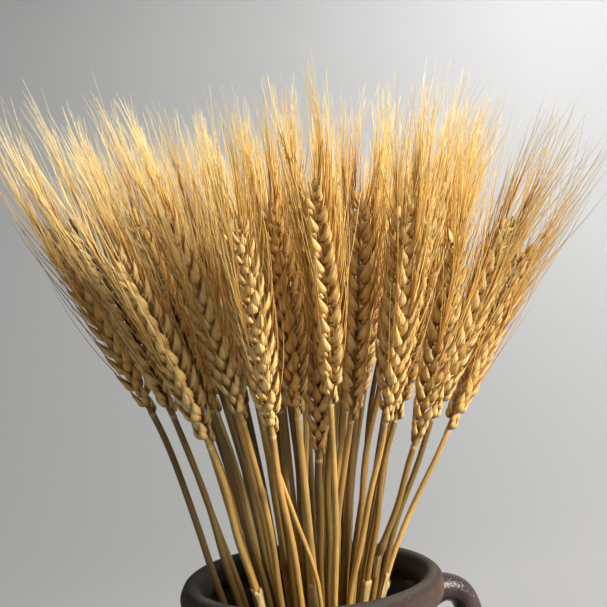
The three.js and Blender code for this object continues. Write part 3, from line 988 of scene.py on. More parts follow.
# %% Helpers for materials
def new_material(name, roughness, **constants):
    material = bpy.data.materials.new(name)
    material.use_nodes = True
    shader = material.node_tree.nodes["Principled BSDF"]
    shader.inputs["Roughness"].default_value = roughness
    for key, value in constants.items():
        shader.inputs[key.replace("_", " ")].default_value = value
    return material, material.node_tree, shader


def ramp(tree, value, *stops):
    """A colour that runs through the stops, each a place from 0 to 1 and a colour."""
    node = add_node(tree, "ShaderNodeValToRGB", {"Fac": value})
    elements = node.color_ramp.elements
    while len(elements) < len(stops):
        elements.new(0.5)
    for element, (place, colour) in zip(elements, stops):
        element.position = place
        element.color = (*colour, 1)
    return node.outputs["Color"]


def mixed(tree, share, one, other, blend="MIX"):
    """One colour turned into the other by a share, or the two combined by another blend."""
    node = tree.nodes.new("ShaderNodeMix")
    node.data_type, node.blend_type = "RGBA", blend
    sockets = [s for s in node.inputs if s.enabled]
    for socket, value in zip(sockets, (share, one, other)):
        if isinstance(value, bpy.types.NodeSocket):
            tree.links.new(value, socket)
        else:
            socket.default_value = value if isinstance(value, float) else (*value, 1)
    return first(node)


def fibre_outputs(tree, **values):
    node = add_node(tree, "ShaderNodeGroup", node_tree=fibres)
    for name, value in values.items():
        node.inputs[name].default_value = value
    return node.outputs["Ribs"], node.outputs["Blotches"], node.outputs["Shade"]


def grooved(tree, ribs, share, tone, groove):
    """The tone, turned by a share into the groove's colour between the ribs."""
    return mixed(tree, map_range(tree, ribs, 0.0, 1.0, share, 0.0), tone, groove)


def add_bump(tree, shader, height, distance, strength=1.0):
    inputs = {"Height": height, "Distance": distance, "Strength": strength}
    tree.links.new(first(add_node(tree, "ShaderNodeBump", inputs)), shader.inputs["Normal"])


# %% [markdown]
# ## Finishes for one plant
# The husks are straw-yellow, and each one differs a little from its neighbour. Their feet are brown, partly
# their own tone and partly painted shade where each husk tucks under the next. The awns are amber where they
# leave the ear and pale gold higher up, and the dark amber at their roots is partly painted shade deep in the
# bunch. At the left side of the bunch the awns carry painted shade, a little darker and cooler, and at the
# right side their tips carry painted shade, a grey-brown. The straws are glossy tan with olive patches,
# darker at a knot and papery under the ear, and their darkest tones are partly painted shade deep in the
# bunch. The scraps of sheath are dull and papery. One finish for all would be simpler, but these tones are
# what makes the bunch read as wheat. Where a colour changes along a husk or an awn, a ramp reads the value
# that the shape carries.

# %% Husk finish
def husk_finish():
    material, tree, shader = new_material("dried husk", 0.48, Specular_IOR_Level=0.4)
    ribs, blotches, shade = fibre_outputs(tree, Round=5.0, Along=1.2, Blotches=260.0)
    along = carried(tree, "along")
    # Painted shade, partly: both ramps run dark brown at a husk's foot. This is its own tone and also shade
    # where it tucks under the next husk
    pale = ramp(
        tree,
        along,
        (0.0, (0.24, 0.10, 0.020)),
        (0.18, (0.56, 0.29, 0.06)),
        (0.45, (0.87, 0.61, 0.225)),
        (0.8, (0.86, 0.65, 0.28)),
        (1.0, (0.78, 0.46, 0.12)),
    )
    deep = ramp(
        tree,
        along,
        (0.0, (0.15, 0.055, 0.010)),
        (0.22, (0.45, 0.19, 0.032)),
        (0.6, (0.82, 0.43, 0.088)),
        (1.0, (0.58, 0.26, 0.04)),
    )
    sideways = add_node(tree, "ShaderNodeSeparateXYZ", {"Vector": carried(tree, "ring", "Vector")})
    margin = number_math(tree, "POWER", number_math(tree, "ABSOLUTE", sideways.outputs["X"]), 4.0)
    tone = mixed(tree, shade, deep, pale)
    tone = mixed(tree, times(tree, margin, 0.35), tone, (0.92, 0.72, 0.36))
    worn = mixed(tree, times(tree, blotches, 0.3), tone, (0.84, 0.61, 0.25))
    ribbed = grooved(tree, ribs, 0.3, worn, (0.34, 0.17, 0.05))
    tree.links.new(ribbed, shader.inputs["Base Color"])
    tree.links.new(map_range(tree, ribs, 0.0, 1.0, 0.58, 0.38), shader.inputs["Roughness"])
    add_bump(tree, shader, ribs, 0.00025)
    return material


husk_material = husk_finish()
print("made:", husk_material.name)


# %% Awn finish
# From where to where the awns carry painted shade, darker to the left and grey-brown at the tips to the
# right, in metres, and where on an awn the painted shade of the tips starts and is full
LEFT_SHADE_START, LEFT_SHADE_END = -0.02, -0.09
RIGHT_SHADE_START, RIGHT_SHADE_END = 0.06, 0.115
TIP_SHADE_LOW, TIP_SHADE_HIGH, TIP_SHADE_SHARE = 0.35, 0.8, 0.8


def awn_finish():
    material, tree, shader = new_material("awn", 0.6, Specular_IOR_Level=0.2)
    ribs, _, shade = fibre_outputs(tree, Round=0.5, Along=3.0, Blotches=60.0)
    along = carried(tree, "along")
    # Painted shade, partly: both ramps are dark amber at an awn's root. This is its own tone and also shade
    # deep in the bunch
    gold = ramp(
        tree,
        along,
        (0.0, (0.44, 0.19, 0.035)),
        (0.25, (0.77, 0.43, 0.095)),
        (0.6, (0.83, 0.59, 0.205)),
        (0.85, (0.79, 0.61, 0.255)),
        (1.0, (0.68, 0.56, 0.31)),
    )
    amber = ramp(
        tree,
        along,
        (0.0, (0.30, 0.115, 0.018)),
        (0.35, (0.68, 0.35, 0.070)),
        (0.75, (0.85, 0.58, 0.18)),
        (1.0, (0.66, 0.50, 0.22)),
    )
    tone = mixed(tree, shade, amber, gold)
    ribbed = grooved(tree, ribs, 0.2, tone, (0.42, 0.24, 0.09))
    sideways = add_node(tree, "ShaderNodeSeparateXYZ", {"Vector": object_place(tree)}).outputs["X"]
    # Painted shade: awns at the right side of the bunch turn grey-brown towards their tips
    tip = map_range(tree, along, TIP_SHADE_LOW, TIP_SHADE_HIGH)
    right_tip_shade = times(tree, map_range(tree, sideways, RIGHT_SHADE_START, RIGHT_SHADE_END), tip)
    right_tip_shade = times(tree, right_tip_shade, TIP_SHADE_SHARE)
    # Painted shade: awns at the left side of the bunch turn a little darker and cooler
    left_painted_shade = map_range(tree, sideways, LEFT_SHADE_START, LEFT_SHADE_END)
    left_shaded = mixed(tree, left_painted_shade, ribbed, (0.85, 0.91, 1.15), "MULTIPLY")
    tree.links.new(mixed(tree, right_tip_shade, left_shaded, (0.26, 0.19, 0.10)), shader.inputs["Base Color"])
    return material


awn_material = awn_finish()
print("made:", awn_material.name)


# %% Straw finish
def straw_finish():
    material, tree, shader = new_material("straw", 0.36, Specular_IOR_Level=0.5)
    ribs, blotches, shade = fibre_outputs(tree, Round=7.0, Along=45.0, Blotches=38.0)
    tint = carried(tree, "tint")
    # Painted shade, partly: the ramp's dark end is the straws' own dark tone and also shade for straws deep
    # in the bunch
    tan = ramp(
        tree,
        shade,
        (0.0, (0.085, 0.052, 0.012)),
        (0.35, (0.22, 0.115, 0.023)),
        (0.6, (0.48, 0.25, 0.055)),
        (0.8, (0.76, 0.43, 0.11)),
        (1.0, (0.86, 0.64, 0.26)),
    )
    olive = mixed(tree, map_range(tree, blotches, 0.2, 1.0, 0.0, 0.6), tan, (0.21, 0.16, 0.034))
    ribbed = grooved(tree, ribs, 0.4, olive, (0.18, 0.10, 0.03))
    knotted = mixed(tree, map_range(tree, tint, 0.0, 1.0, 0.0, 0.75), ribbed, (0.16, 0.075, 0.025))
    papery = mixed(tree, map_range(tree, tint, 0.0, -1.0, 0.0, 0.85), knotted, (0.80, 0.62, 0.32))
    tree.links.new(papery, shader.inputs["Base Color"])
    tree.links.new(map_range(tree, ribs, 0.0, 1.0, 0.5, 0.3), shader.inputs["Roughness"])
    add_bump(tree, shader, ribs, 0.0002)
    return material


straw_material = straw_finish()
FINISHES = {"Husk finish": husk_material, "Awn finish": awn_material, "Straw finish": straw_material}
print("made:", straw_material.name)


# %% Sheath finish
def sheath_finish():
    material, tree, shader = new_material("papery sheath", 0.7, Specular_IOR_Level=0.25)
    ribs, blotches, _ = fibre_outputs(tree, Round=9.0, Along=60.0, Blotches=200.0)
    paper = mixed(tree, blotches, (0.74, 0.57, 0.28), (0.52, 0.36, 0.14))
    ribbed = grooved(tree, ribs, 0.5, paper, (0.36, 0.22, 0.08))
    tree.links.new(ribbed, shader.inputs["Base Color"])
    add_bump(tree, shader, ribs, 0.00025)
    return material


sheath_material = sheath_finish()
print("made:", sheath_material.name)

# %% [markdown]
# ## Forty stems
# Each sketch goes through the tree and comes out as one piece: straw, husks and awns together. The husks are
# instances until their branch of the tree makes them real. The values that only the tree needed are thrown
# away, and the ones that the finishes read stay on the mesh. The bare straws go through the same tree.

# %% Grow the stems
KEPT_ATTRIBUTES = {"along", "ring", "shade", "tint"}
BUILT_IN = {"position", ".edge_verts", ".corner_vert", ".corner_edge", "sharp_face", "material_index"}


def link_object(name, mesh):
    piece = bpy.data.objects.new(name, mesh)
    bpy.context.scene.collection.objects.link(piece)
    return piece


def set_inputs(modifier, tree, values):
    """Gives a modifier its inputs, which are known by the identifiers of the tree's sockets."""
    for item in tree.interface.items_tree:
        if item.in_out == "INPUT" and item.name in values:
            modifier[item.identifier] = values[item.name]


def grown(name, sketch):
    piece = link_object(name, sketch.mesh(name))
    modifier = piece.modifiers.new("stem", "NODES")
    modifier.node_group = stem_nodes
    set_inputs(modifier, stem_nodes, {key: value for key, _, value in STEM_INPUTS} | FINISHES)
    depsgraph = bpy.context.evaluated_depsgraph_get()
    mesh = bpy.data.meshes.new_from_object(piece.evaluated_get(depsgraph), depsgraph=depsgraph)
    piece.modifiers.clear()
    piece.data = mesh
    for title in [a.name for a in mesh.attributes if a.name not in KEPT_ATTRIBUTES | BUILT_IN]:
        mesh.attributes.remove(mesh.attributes[title])
    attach(piece, "root")
    return piece


wheat = [grown(f"wheat_{number:02d}", sketch) for number, sketch in enumerate(sketches, 1)]
for number, piece in enumerate(wheat, 1):
    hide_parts(f"wheat_stem_{number:02d}")
wheat += [grown(f"bare_straw_{number:02d}", sketch) for number, sketch in enumerate(bare_sketches, 1)]
for shape in list(husk_shapes.objects):
    bpy.data.objects.remove(shape)
bpy.data.collections.remove(husk_shapes)
triangles = sum(len(p.vertices) - 2 for piece in wheat for p in piece.data.polygons)
print("triangles in all stems:", triangles, "attributes:", [a.name for a in wheat[0].data.attributes])

# %% [markdown]
# ## Scraps of sheath
# A wheat leaf wraps its straw in a sheath. When the leaves are stripped off, papery scraps of it stay behind,
# and a few of them show just above the jar. They could be cut out of the straw itself, but a scrap stands off
# its straw and has a torn upper edge, so each one is a thin piece of its own: two curved sheets, an outer and
# an inner one, closed at all four edges.

# %% Places of the scraps
# The straw's number, the lower and the upper end above the rim in metres, the side that the scrap faces
# and how far it reaches round the straw, both in degrees
SHEATHS = (
    (14, -0.015, 0.000, -90, 250),
    (16, -0.013, -0.004, -60, 150),
    (8, -0.010, 0.003, -120, 170),
    (15, -0.010, 0.004, -25, 80),
    (13, 0.003, 0.014, -150, 100),
    (3, -0.010, 0.004, -70, 230),
)
SHEATH_COLUMNS, SHEATH_ROWS = 16, 7
SHEATH_GAP, SHEATH_THICKNESS = 0.2 * MM, 0.13 * MM
SHEATH_FLARE, SHEATH_TEAR, SHEATH_LEAST_FLARE = 0.7 * MM, 2.6 * MM, 0.4
SHEATH_SEED = 60
print("scraps to make:", len(SHEATHS), "with points each:", 2 * SHEATH_COLUMNS * SHEATH_ROWS)


# %% Shape of a scrap
def sheath_mesh(name, stem, low, high, facing, reach, numbers):
    """A thin torn tube round part of a straw, closed at its edges."""
    points, along, ring = [], [], []
    tears = [numbers.uniform(0, 1) ** 2 for _ in range(SHEATH_COLUMNS)]
    for skin in (SHEATH_THICKNESS, 0.0):
        for row in range(SHEATH_ROWS):
            share = row / (SHEATH_ROWS - 1)
            for column, tear in enumerate(tears):
                z = JAR_HEIGHT + low + (high - low - SHEATH_TEAR * tear) * share
                a = math.radians(facing + reach * (column / (SHEATH_COLUMNS - 1) - 0.5))
                flare = SHEATH_FLARE * share**3 * (SHEATH_LEAST_FLARE + tear)
                r = straw_girth(stem, z, (), stem.thickness) + SHEATH_GAP + flare + skin
                points.append(stem.point(z) + Vector((r * math.cos(a), r * math.sin(a), 0)))
                along.append(z)
                ring.append((math.cos(a), math.sin(a), 0))
    sheet = SHEATH_COLUMNS * SHEATH_ROWS
    faces = []
    for row in range(SHEATH_ROWS - 1):
        for column in range(SHEATH_COLUMNS - 1):
            k = row * SHEATH_COLUMNS + column
            corners = (k, k + 1, k + 1 + SHEATH_COLUMNS, k + SHEATH_COLUMNS)
            faces.append(corners)
            faces.append(tuple(sheet + c for c in reversed(corners)))
    top = SHEATH_COLUMNS * (SHEATH_ROWS - 1)
    for column in range(SHEATH_COLUMNS - 1):
        faces.append((column + 1, column, sheet + column, sheet + column + 1))
        faces.append((top + column, top + column + 1, sheet + top + column + 1, sheet + top + column))
    for row in range(SHEATH_ROWS - 1):
        left, right = row * SHEATH_COLUMNS, (row + 1) * SHEATH_COLUMNS - 1
        faces.append((left, left + SHEATH_COLUMNS, sheet + left + SHEATH_COLUMNS, sheet + left))
        faces.append((right + SHEATH_COLUMNS, right, sheet + right, sheet + right + SHEATH_COLUMNS))
    mesh = new_mesh(name, points, faces)
    store(mesh, "along", "FLOAT", along)
    store(mesh, "ring", "FLOAT_VECTOR", ring)
    store(mesh, "shade", "FLOAT", [numbers.random()] * len(points))
    mesh.shade_smooth()
    return mesh


# %% Wrap the scraps round their straws
for number, (straw, low, high, facing, reach) in enumerate(SHEATHS, 1):
    name = f"sheath_{number}"
    numbers = random.Random(SHEATH_SEED + number)
    scrap = link_object(name, sheath_mesh(name, stems[straw - 1], low, high, facing, reach, numbers))
    scrap.data.materials.append(sheath_material)
    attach(scrap, "root")
print("scraps of sheath:", len(SHEATHS))

# %% [markdown]
# ## The jar
# The jar was thrown on a wheel, so its wall is a turned shape: one outline goes up the outside, over the
# rolled lip and down inside. A perfect lathe shape looks like metal. The wheel leaves the wall a little out
# of round, with shallow ridges from the potter's fingers, so the outline is turned here in code with those
# small errors put in. The handles are rolled straps of clay, thicker where they were pressed on to the wall.
# A Boolean modifier joins them to it, so that the jar is one closed piece as it is when it is fired.

# %% Outline of the jar, in millimetres
OUTSIDE = (
    (0, 0.6), (38, 0.6), (44, 0), (47.2, 1.6), (50.4, 6), (60, 27), (70, 52), (77.4, 77), (80, 102),
    (78.7, 126), (73, 148), (65.6, 166), (58.6, 182), (54.4, 192), (52.6, 201), (52.4, 209),
)
LIP_MIDDLE, LIP_HALF_WIDTH, LIP_HALF_HEIGHT = (52.9, 221.0), 4.8, 7.2
# The lip's roll, in degrees from its outer side over its top
LIP_START, LIP_SWEEP, LIP_STEPS = -62, 304, 14
INSIDE = (
    (47.0, 210), (46.0, 200), (51.0, 182), (58.5, 166), (66, 148), (71.5, 126), (73, 102),
    (70, 77), (63, 54), (52, 27), (43, 12.5), (38, 10), (0, 10),
)
OUTLINE_STEPS = 6
JAR_TURNS = 144


def through_points(points, steps):
    """A smooth line through the points."""
    points = [Vector(p) for p in points]
    ends = [2 * points[0] - points[1], *points, 2 * points[-1] - points[-2]]
    line = []
    for a, b, c, d in zip(ends, ends[1:], ends[2:], ends[3:]):
        for k in range(steps):
            t = k / steps
            straight = 2 * b + (c - a) * t
            bent = (2 * a - 5 * b + 4 * c - d) * t * t
            line.append(0.5 * (straight + bent + (3 * b - a - 3 * c + d) * t**3))
    return line + [points[-1]]


def jar_outline():
    lip = []
    for k in range(LIP_STEPS + 1):
        a = math.radians(LIP_START + LIP_SWEEP * k / LIP_STEPS)
        across, up = LIP_HALF_WIDTH * math.cos(a), LIP_HALF_HEIGHT * math.sin(a)
        lip.append((LIP_MIDDLE[0] + across, LIP_MIDDLE[1] + up))
    return through_points([*OUTSIDE, *lip, *INSIDE], OUTLINE_STEPS)


print("points in the jar's outline:", len(jar_outline()))


# %% Marks of the wheel
# The wheel's errors are waves round the jar: how high each is, in millimetres, and where it starts
OVAL, OVAL_START = 0.35, 0.7
THREE_SIDED, THREE_SIDED_START = 0.2, 2.1
RIM_WAVE, RIM_WAVE_START, RIM_WAVE_ABOVE = 0.3, 1.2, 200
# The finger ridges: how high each is, and how close its turns lie
FINE_RIDGE, FINE_TURNS = 0.16, 0.9
COARSE_RIDGE, COARSE_TURNS = 0.1, 0.37
# The errors fade out towards the axis inside this radius
STEADY_RADIUS = 40


def thrown(radius, z, angle):
    """Where the potter's hands left the wall: a little out of round, with ridges that climb in a spiral."""
    round_error = OVAL * math.sin(2 * angle + OVAL_START)
    round_error += THREE_SIDED * math.sin(3 * angle + THREE_SIDED_START)
    ridges = FINE_RIDGE * math.sin(z * FINE_TURNS + angle)
    ridges += COARSE_RIDGE * math.sin(z * COARSE_TURNS + 2 * angle)
    share = min(1.0, radius / STEADY_RADIUS)
    wave = share * RIM_WAVE * math.sin(angle + RIM_WAVE_START) * (z > RIM_WAVE_ABOVE)
    return radius + share * (round_error + ridges), z + wave


print("lip across, mm:", round(2 * (LIP_MIDDLE[0] + LIP_HALF_WIDTH), 1))


# %% Turn the wall
def ring_faces(rings, sides):
    """Faces between rings of points that lie one after another."""
    faces = []
    for level in range(rings - 1):
        low, high = level * sides, (level + 1) * sides
        for k in range(sides):
            after = (k + 1) % sides
            faces.append((low + k, low + after, high + after, high + k))
    return faces


def jar_wall():
    line = jar_outline()
    rings = line[1:-1]
    points = []
    for p in rings:
        for k in range(JAR_TURNS):
            a = 2 * math.pi * k / JAR_TURNS
            r, z = thrown(p.x, p.y, a)
            points.append((r * math.cos(a) * MM, r * math.sin(a) * MM, z * MM))
    faces = ring_faces(len(rings), JAR_TURNS)
    bottom, top = len(points), len(points) + 1
    points += [(0, 0, line[0].y * MM), (0, 0, line[-1].y * MM)]
    last = (len(rings) - 1) * JAR_TURNS
    for k in range(JAR_TURNS):
        after = (k + 1) % JAR_TURNS
        faces += [(bottom, after, k), (top, last + k, last + after)]
    return new_mesh("jar wall", points, faces)


# %% Shape a handle
HANDLE_LINE = (
    (48.5, 208), (58, 210.8), (67, 211.2), (75, 205.5), (79.3, 190), (77.4, 173), (72.5, 161.5), (66, 154.5),
)
# Its turn about the axis in degrees, the steps between two of its points, and the corners of a ring
HANDLE_TURN, HANDLE_STEPS, HANDLE_SIDES = 20, 7, 28
HANDLE_HALF_WIDTH, HANDLE_HALF_THICKNESS = 6.6, 6.1
# What the flare at each end adds to the half width, how far it reaches as a share of the handle's length,
# and how much of it goes into the thickness
UPPER_FLARE, UPPER_REACH = 3.2, 0.17
LOWER_FLARE, LOWER_REACH = 3.4, 0.15
FLARE_THICKNESS = 0.8
print("a handle reaches from the axis, mm:", round(max(x for x, _ in HANDLE_LINE) + HANDLE_HALF_THICKNESS, 1))


def handle_mesh(turn):
    """A rolled strap of clay, thicker where it was pressed on to the wall."""
    line = through_points(HANDLE_LINE, HANDLE_STEPS)
    count = len(line)
    turned = Matrix.Rotation(math.radians(turn), 3, "Z")
    points = []
    for i, p in enumerate(line):
        ahead = (line[min(i + 1, count - 1)] - line[max(i - 1, 0)]).normalized()
        normal = Vector((ahead.y, -ahead.x))
        share = i / (count - 1)
        flare = bump(share, UPPER_REACH) * UPPER_FLARE + bump(1 - share, LOWER_REACH) * LOWER_FLARE
        wide, thick = HANDLE_HALF_WIDTH + flare, HANDLE_HALF_THICKNESS + flare * FLARE_THICKNESS
        for k in range(HANDLE_SIDES):
            a = 2 * math.pi * k / HANDLE_SIDES
            out = p + normal * thick * math.sin(a)
            points.append(turned @ Vector((out.x, wide * math.cos(a), out.y)) * MM)
    last = (count - 1) * HANDLE_SIDES
    ends = [tuple(reversed(range(HANDLE_SIDES))), tuple(range(last, last + HANDLE_SIDES))]
    faces = ring_faces(count, HANDLE_SIDES) + ends
    mesh = new_mesh("handle", points, faces)
    made = bmesh.new()
    made.from_mesh(mesh)
    bmesh.ops.recalc_face_normals(made, faces=made.faces)
    made.to_mesh(mesh)
    made.free()
    return mesh


# %% Join the handles to the wall
def build_jar():
    jar = link_object("jar", jar_wall())
    handles = [link_object(f"handle {side}", handle_mesh(HANDLE_TURN + side * 180)) for side in range(2)]
    for handle in handles:
        union = jar.modifiers.new("handle", "BOOLEAN")
        union.operation, union.solver, union.object = "UNION", "EXACT", handle
    depsgraph = bpy.context.evaluated_depsgraph_get()
    whole = bpy.data.meshes.new_from_object(jar.evaluated_get(depsgraph), depsgraph=depsgraph)
    jar.modifiers.clear()
    jar.data = whole
    for handle in handles:
        bpy.data.objects.remove(handle)
    return jar


jar = build_jar()
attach(jar, "root")
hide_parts("stoneware_jar", "jar_handle_right", "jar_handle_left")
print("jar faces:", len(jar.data.polygons))

# %% [markdown]
# ## Glaze
# The glaze is a dark purple-brown, nearly black in the shade, glossy and full of small pits with a few pale
# specks. The top of the lip is worn to a dull grey-brown, and the lip's outer side is rubbed. Where a handle
# leaves the neck the glaze is scorched to a rusty brown, and inside the mouth it is a dull olive-grey. Masks
# for these zones could be painted on a flat layout of the jar. On a turned shape it is simpler to let the
# height and the distance from the axis say where each zone lies. One cloudy noise moves all their borders, so
# that none of them is a clean circle.

# %% Zones of the glaze, in metres
# The height where the worn lip starts, how soft its border is, and how far the cloud moves it
GLAZE_TOP, GLAZE_BORDER, GLAZE_WANDER = 0.2225, 0.003, 0.008
# Distances from the axis, where each zone starts and where it is full, and how far the cloud moves its border
MOUTH, MOUTH_WANDER = (0.0526, 0.0508), 0.001
LIP_EDGE, EDGE_WANDER = (0.0568, 0.0558), 0.0016
SCORCH_INNER, SCORCH_OUTER = (0.0565, 0.058), (0.0605, 0.059)
SCORCH_HEIGHT = (0.200, 0.206)
print("the lip is worn above, mm:", round(GLAZE_TOP / MM, 1))


def glaze_zones(tree, spot, cloud):
    """Four masks: the whole lip, its worn top, the scorched joints at the handles, and the mouth's inside."""

    def wandering(value, amount):
        return plus(tree, value, times(tree, cloud, amount))

    height = add_node(tree, "ShaderNodeSeparateXYZ", {"Vector": spot}).outputs["Z"]
    level = add_node(tree, "ShaderNodeVectorMath", {0: spot, 1: (1, 1, 0)}, operation="MULTIPLY")
    reach = add_node(tree, "ShaderNodeVectorMath", {0: first(level)}, operation="LENGTH").outputs["Value"]
    bare = map_range(tree, wandering(height, GLAZE_WANDER), GLAZE_TOP, GLAZE_TOP + GLAZE_BORDER)
    worn = times(tree, bare, map_range(tree, wandering(reach, EDGE_WANDER), *LIP_EDGE))
    band = times(tree, map_range(tree, reach, *SCORCH_INNER), map_range(tree, reach, *SCORCH_OUTER))
    scorch = times(tree, band, map_range(tree, height, *SCORCH_HEIGHT))
    inside = map_range(tree, wandering(reach, MOUTH_WANDER), *MOUTH)
    return bare, worn, scorch, inside


# %% Glaze of the jar
PIT_SCALE, CLOUD_SCALE, SPECK_SCALE = 900.0, 60.0, 420.0
PIT_DEPTH, PIT_STRENGTH = 0.0006, 0.7
LIP_RUB, LIP_DULLNESS = 0.8, 0.55


def glaze_colour(tree, spot, cloud, zones):
    """The dark glaze with its specks, and over it the colour of each zone."""
    bare, worn, scorch, inside = zones
    patches = map_range(tree, cloud, 0.35, 0.65)
    cells = add_node(tree, "ShaderNodeTexVoronoi", {"Vector": spot, "Scale": SPECK_SCALE})
    speck = map_range(tree, cells.outputs["Distance"], 0.12, 0.2, 1.0, 0.0)
    speck = times(tree, speck, map_range(tree, cloud, 0.45, 0.6, 0.1, 0.8))
    scorch = times(tree, scorch, map_range(tree, cloud, 0.4, 0.6, 0.15, 0.7))
    body = mixed(tree, patches, (0.022, 0.012, 0.013), (0.044, 0.026, 0.027))
    specked = mixed(tree, speck, body, (0.27, 0.23, 0.22))
    rubbed = mixed(tree, times(tree, bare, LIP_RUB), specked, (0.020, 0.013, 0.011))
    lip = mixed(tree, patches, (0.024, 0.020, 0.017), (0.042, 0.035, 0.030))
    outer = mixed(tree, worn, rubbed, lip)
    scorched = mixed(tree, scorch, outer, (0.095, 0.048, 0.026))
    return mixed(tree, inside, scorched, (0.046, 0.042, 0.034))


def glaze_finish():
    material, tree, shader = new_material("dark glaze", 0.4, Specular_IOR_Level=0.4)
    spot = object_place(tree)
    cloud = noise(tree, spot, CLOUD_SCALE, 4.0)
    zones = glaze_zones(tree, spot, cloud)
    bare, inside = zones[0], zones[-1]
    tree.links.new(glaze_colour(tree, spot, cloud, zones), shader.inputs["Base Color"])
    gloss = map_range(tree, cloud, 0.3, 0.7, 0.24, 0.42)
    dull = times(tree, number_math(tree, "MAXIMUM", bare, inside), LIP_DULLNESS)
    tree.links.new(plus(tree, gloss, dull), shader.inputs["Roughness"])
    add_bump(tree, shader, noise(tree, spot, PIT_SCALE, 2.0), PIT_DEPTH, PIT_STRENGTH)
    return material


jar.data.materials.clear()
jar.data.materials.append(glaze_finish())
jar.data.shade_smooth()
print("jar finish:", jar.data.materials[0].name)

# %% [markdown]
# ## The backdrop
# A plain backdrop lets the fine awns stand out. It is grey on the left and pale on the right, and no edge
# shows between floor and wall. A flat wall behind the jar would hide it from other sides, so the backdrop is
# a wide round bowl. Its tone turns from grey to pale by place, from left to right, and grows paler higher up,
# more so on the right: this is painted light, as a window on the right would throw it. It is painted darker
# in front of the jar and under the window's lamp: painted shade where the light would otherwise burn it out.

# %% Shape of the backdrop
# In metres: the flat floor's radius, the wall's radius and its height
BOWL_FLOOR, BOWL_RADIUS, BOWL_TOP = 0.9, 3.2, 3.4
BOWL_SIDES, BOWL_STEPS, FLOOR_STEPS = 96, 20, 4


def bowl_mesh():
    """A round floor that turns up into a wall without an edge."""
    rise = BOWL_RADIUS - BOWL_FLOOR
    line = [(BOWL_FLOOR * k / FLOOR_STEPS, 0) for k in range(1, FLOOR_STEPS + 1)]
    for k in range(1, BOWL_STEPS + 1):
        a = math.pi / 2 * k / BOWL_STEPS
        line.append((BOWL_FLOOR + rise * math.sin(a), rise * (1 - math.cos(a))))
    line.append((BOWL_RADIUS, BOWL_TOP))
    turns = np.linspace(0, 2 * math.pi, BOWL_SIDES, False)
    points = [(r * math.cos(a), r * math.sin(a), z) for r, z in line for a in turns]
    wall = [tuple(reversed(face)) for face in ring_faces(len(line), BOWL_SIDES)]
    mesh = new_mesh("backdrop", points, [*wall, tuple(range(BOWL_SIDES))])
    mesh.shade_smooth()
    return mesh


backdrop = link_object("backdrop", bowl_mesh())
print("faces of the backdrop:", len(backdrop.data.polygons))

# %% Tone of the backdrop
# Painted light: how bright it is at the floor and higher up, and how far the brightness tilts from left to
# right as it rises
PAINTED_LIGHT_LOW, PAINTED_LIGHT_HIGH, PAINTED_LIGHT_LEVEL = 0.80, 1.07, 1.2
PAINTED_LIGHT_TILT, PAINTED_LIGHT_TILT_LEVEL = 0.45, 0.5
# Painted shade in front of the jar: from where to where it darkens, and how dark it gets
PAINTED_SHADE_FRONT_START, PAINTED_SHADE_FRONT_END, PAINTED_SHADE_FRONT = 0.2, -1.2, 0.45
# Painted shade round the point under the window's lamp: from where to where it darkens, and how dark it gets
BRIGHT_POINT, BRIGHT_NEAR, BRIGHT_FAR, LAMP_PAINTED_SHADE = (1.25, -0.85, 0.0), 0.2, 1.9, 0.22


def backdrop_finish():
    material, tree, shader = new_material("backdrop", 0.9, Specular_IOR_Level=0.1)
    spot = object_place(tree)
    place = add_node(tree, "ShaderNodeSeparateXYZ", {"Vector": spot})
    sideways = number_math(tree, "DIVIDE", place.outputs["X"], BOWL_RADIUS)
    # Painted light: the tone runs from grey on the left to pale on the right, where the window's light falls
    tone = ramp(
        tree,
        map_range(tree, sideways, -0.5, 0.5),
        (0.0, (0.345, 0.355, 0.365)),
        (0.25, (0.37, 0.38, 0.39)),
        (0.5, (0.455, 0.465, 0.475)),
        (0.75, (0.61, 0.62, 0.64)),
    )
    tilt = times(tree, sideways, number_math(tree, "SUBTRACT", place.outputs["Z"], PAINTED_LIGHT_TILT_LEVEL))
    lift = map_range(tree, place.outputs["Z"], 0.0, PAINTED_LIGHT_LEVEL, PAINTED_LIGHT_LOW, PAINTED_LIGHT_HIGH)
    lift = plus(tree, lift, times(tree, tilt, PAINTED_LIGHT_TILT))
    lift = times(tree, lift, map_range(tree, place.outputs["Y"], PAINTED_SHADE_FRONT_START, PAINTED_SHADE_FRONT_END, 1.0, PAINTED_SHADE_FRONT))
    apart = add_node(tree, "ShaderNodeVectorMath", {0: spot, 1: BRIGHT_POINT}, operation="DISTANCE")
    dimmed = map_range(tree, apart.outputs["Value"], BRIGHT_NEAR, BRIGHT_FAR, LAMP_PAINTED_SHADE, 1.0)
    lift = times(tree, lift, dimmed)
    grey = add_node(tree, "ShaderNodeCombineXYZ", {"X": lift, "Y": lift, "Z": lift})
    tree.links.new(mixed(tree, 1.0, tone, first(grey), "MULTIPLY"), shader.inputs["Base Color"])
    return material


backdrop.data.materials.append(backdrop_finish())
print("backdrop radius, m:", BOWL_RADIUS, "finish:", backdrop.data.materials[0].name)

# %% [markdown]
# ## Light
# The light is soft and comes mostly from a big window on the right, a little in front of the jar. A wide weak
# panel overhead and a weaker one on the left keep the shadows open. One lamp behind the jar lights only the
# backdrop. The last one, low in front and faintly warm, stands for the light that a table throws back, and
# its narrow spread keeps it from drawing a bright edge on the backdrop. One strong lamp would be simpler, but
# it would turn the shaded side of the ears black.

# %% Lights
AIM = (0, 0, 0.33)
WALL_AIM = (1.0, 3.2, 1.0)
WINDOW_COLOUR, WARM, WHITE = (1.0, 0.95, 0.86), (1.0, 0.96, 0.9), (1, 1, 1)
ROOM_COLOUR, ROOM_STRENGTH = (1.0, 0.97, 0.93, 1), 0.20


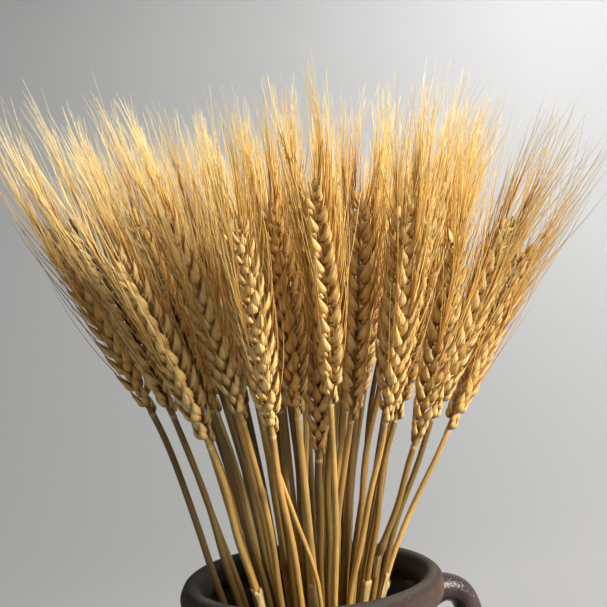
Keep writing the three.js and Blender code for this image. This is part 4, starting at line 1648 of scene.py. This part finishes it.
def add_light(name, place, aim, size, power, colour, spread=180):
    """A round panel that shines from its place to its aim. Its power is in watts, its spread in degrees."""
    light = bpy.data.lights.new(name, "AREA")
    light.shape, light.size, light.energy, light.color = "DISK", size, power, colour
    light.spread = math.radians(spread)
    lamp = bpy.data.objects.new(name, light)
    lamp.visible_camera = False
    aimed = (Vector(aim) - Vector(place)).to_track_quat("-Z", "Y").to_matrix().to_4x4()
    lamp.matrix_world = Matrix.Translation(place) @ aimed
    bpy.context.scene.collection.objects.link(lamp)
    return lamp


lamps = [
    add_light("window", (1.45, -0.9, 1.25), AIM, 0.7, 104, WINDOW_COLOUR),
    add_light("overhead", (-0.1, -0.3, 2.0), AIM, 1.2, 12, WHITE),
    add_light("left", (-1.5, -0.9, 0.9), AIM, 1.2, 1.6, WARM),
    add_light("wall", (0.5, 1.3, 2.1), WALL_AIM, 1.0, 20, WHITE),
    add_light("bounce", (0.8, -1.5, 0.3), AIM, 1.2, 1.95, WARM, 110),
]
world = bpy.data.worlds.new("room")
world.use_nodes = True
room = world.node_tree.nodes["Background"]
room.inputs["Color"].default_value = ROOM_COLOUR
room.inputs["Strength"].default_value = ROOM_STRENGTH
bpy.context.scene.world = world
bpy.context.scene.view_settings.view_transform = "Standard"
print("lamps:", [lamp.name for lamp in lamps])

# %% [markdown]
# ## Camera
# The rim of the jar gives the camera away: how wide its ellipse is, and how far it is from a flat line, say
# where the camera stood and how steeply it looked down. Trying places by eye would take longer and would
# never quite fit.

# %% Camera
CAMERA_PLACE = (-0.0015, -0.4416, 0.3498)
# In degrees: how far it looks down, turns to the side and rolls
PITCH, YAW, ROLL = 0.38, -0.62, -3.24
FOCAL_PIXELS, PICTURE_PIXELS = 1000, 607
FILM_WIDTH = 36
camera_data = bpy.data.cameras.new("camera")
camera_data.sensor_width = FILM_WIDTH
camera_data.lens = FILM_WIDTH * FOCAL_PIXELS / PICTURE_PIXELS
camera = bpy.data.objects.new("camera", camera_data)
bpy.context.scene.collection.objects.link(camera)
camera.matrix_world = (
    Matrix.Translation(CAMERA_PLACE)
    @ Matrix.Rotation(math.radians(YAW), 4, "Z")
    @ Matrix.Rotation(math.radians(90 - PITCH), 4, "X")
    @ Matrix.Rotation(math.radians(ROLL), 4, "Z")
)
bpy.context.scene.camera = camera
print("lens in mm:", round(camera_data.lens, 1))
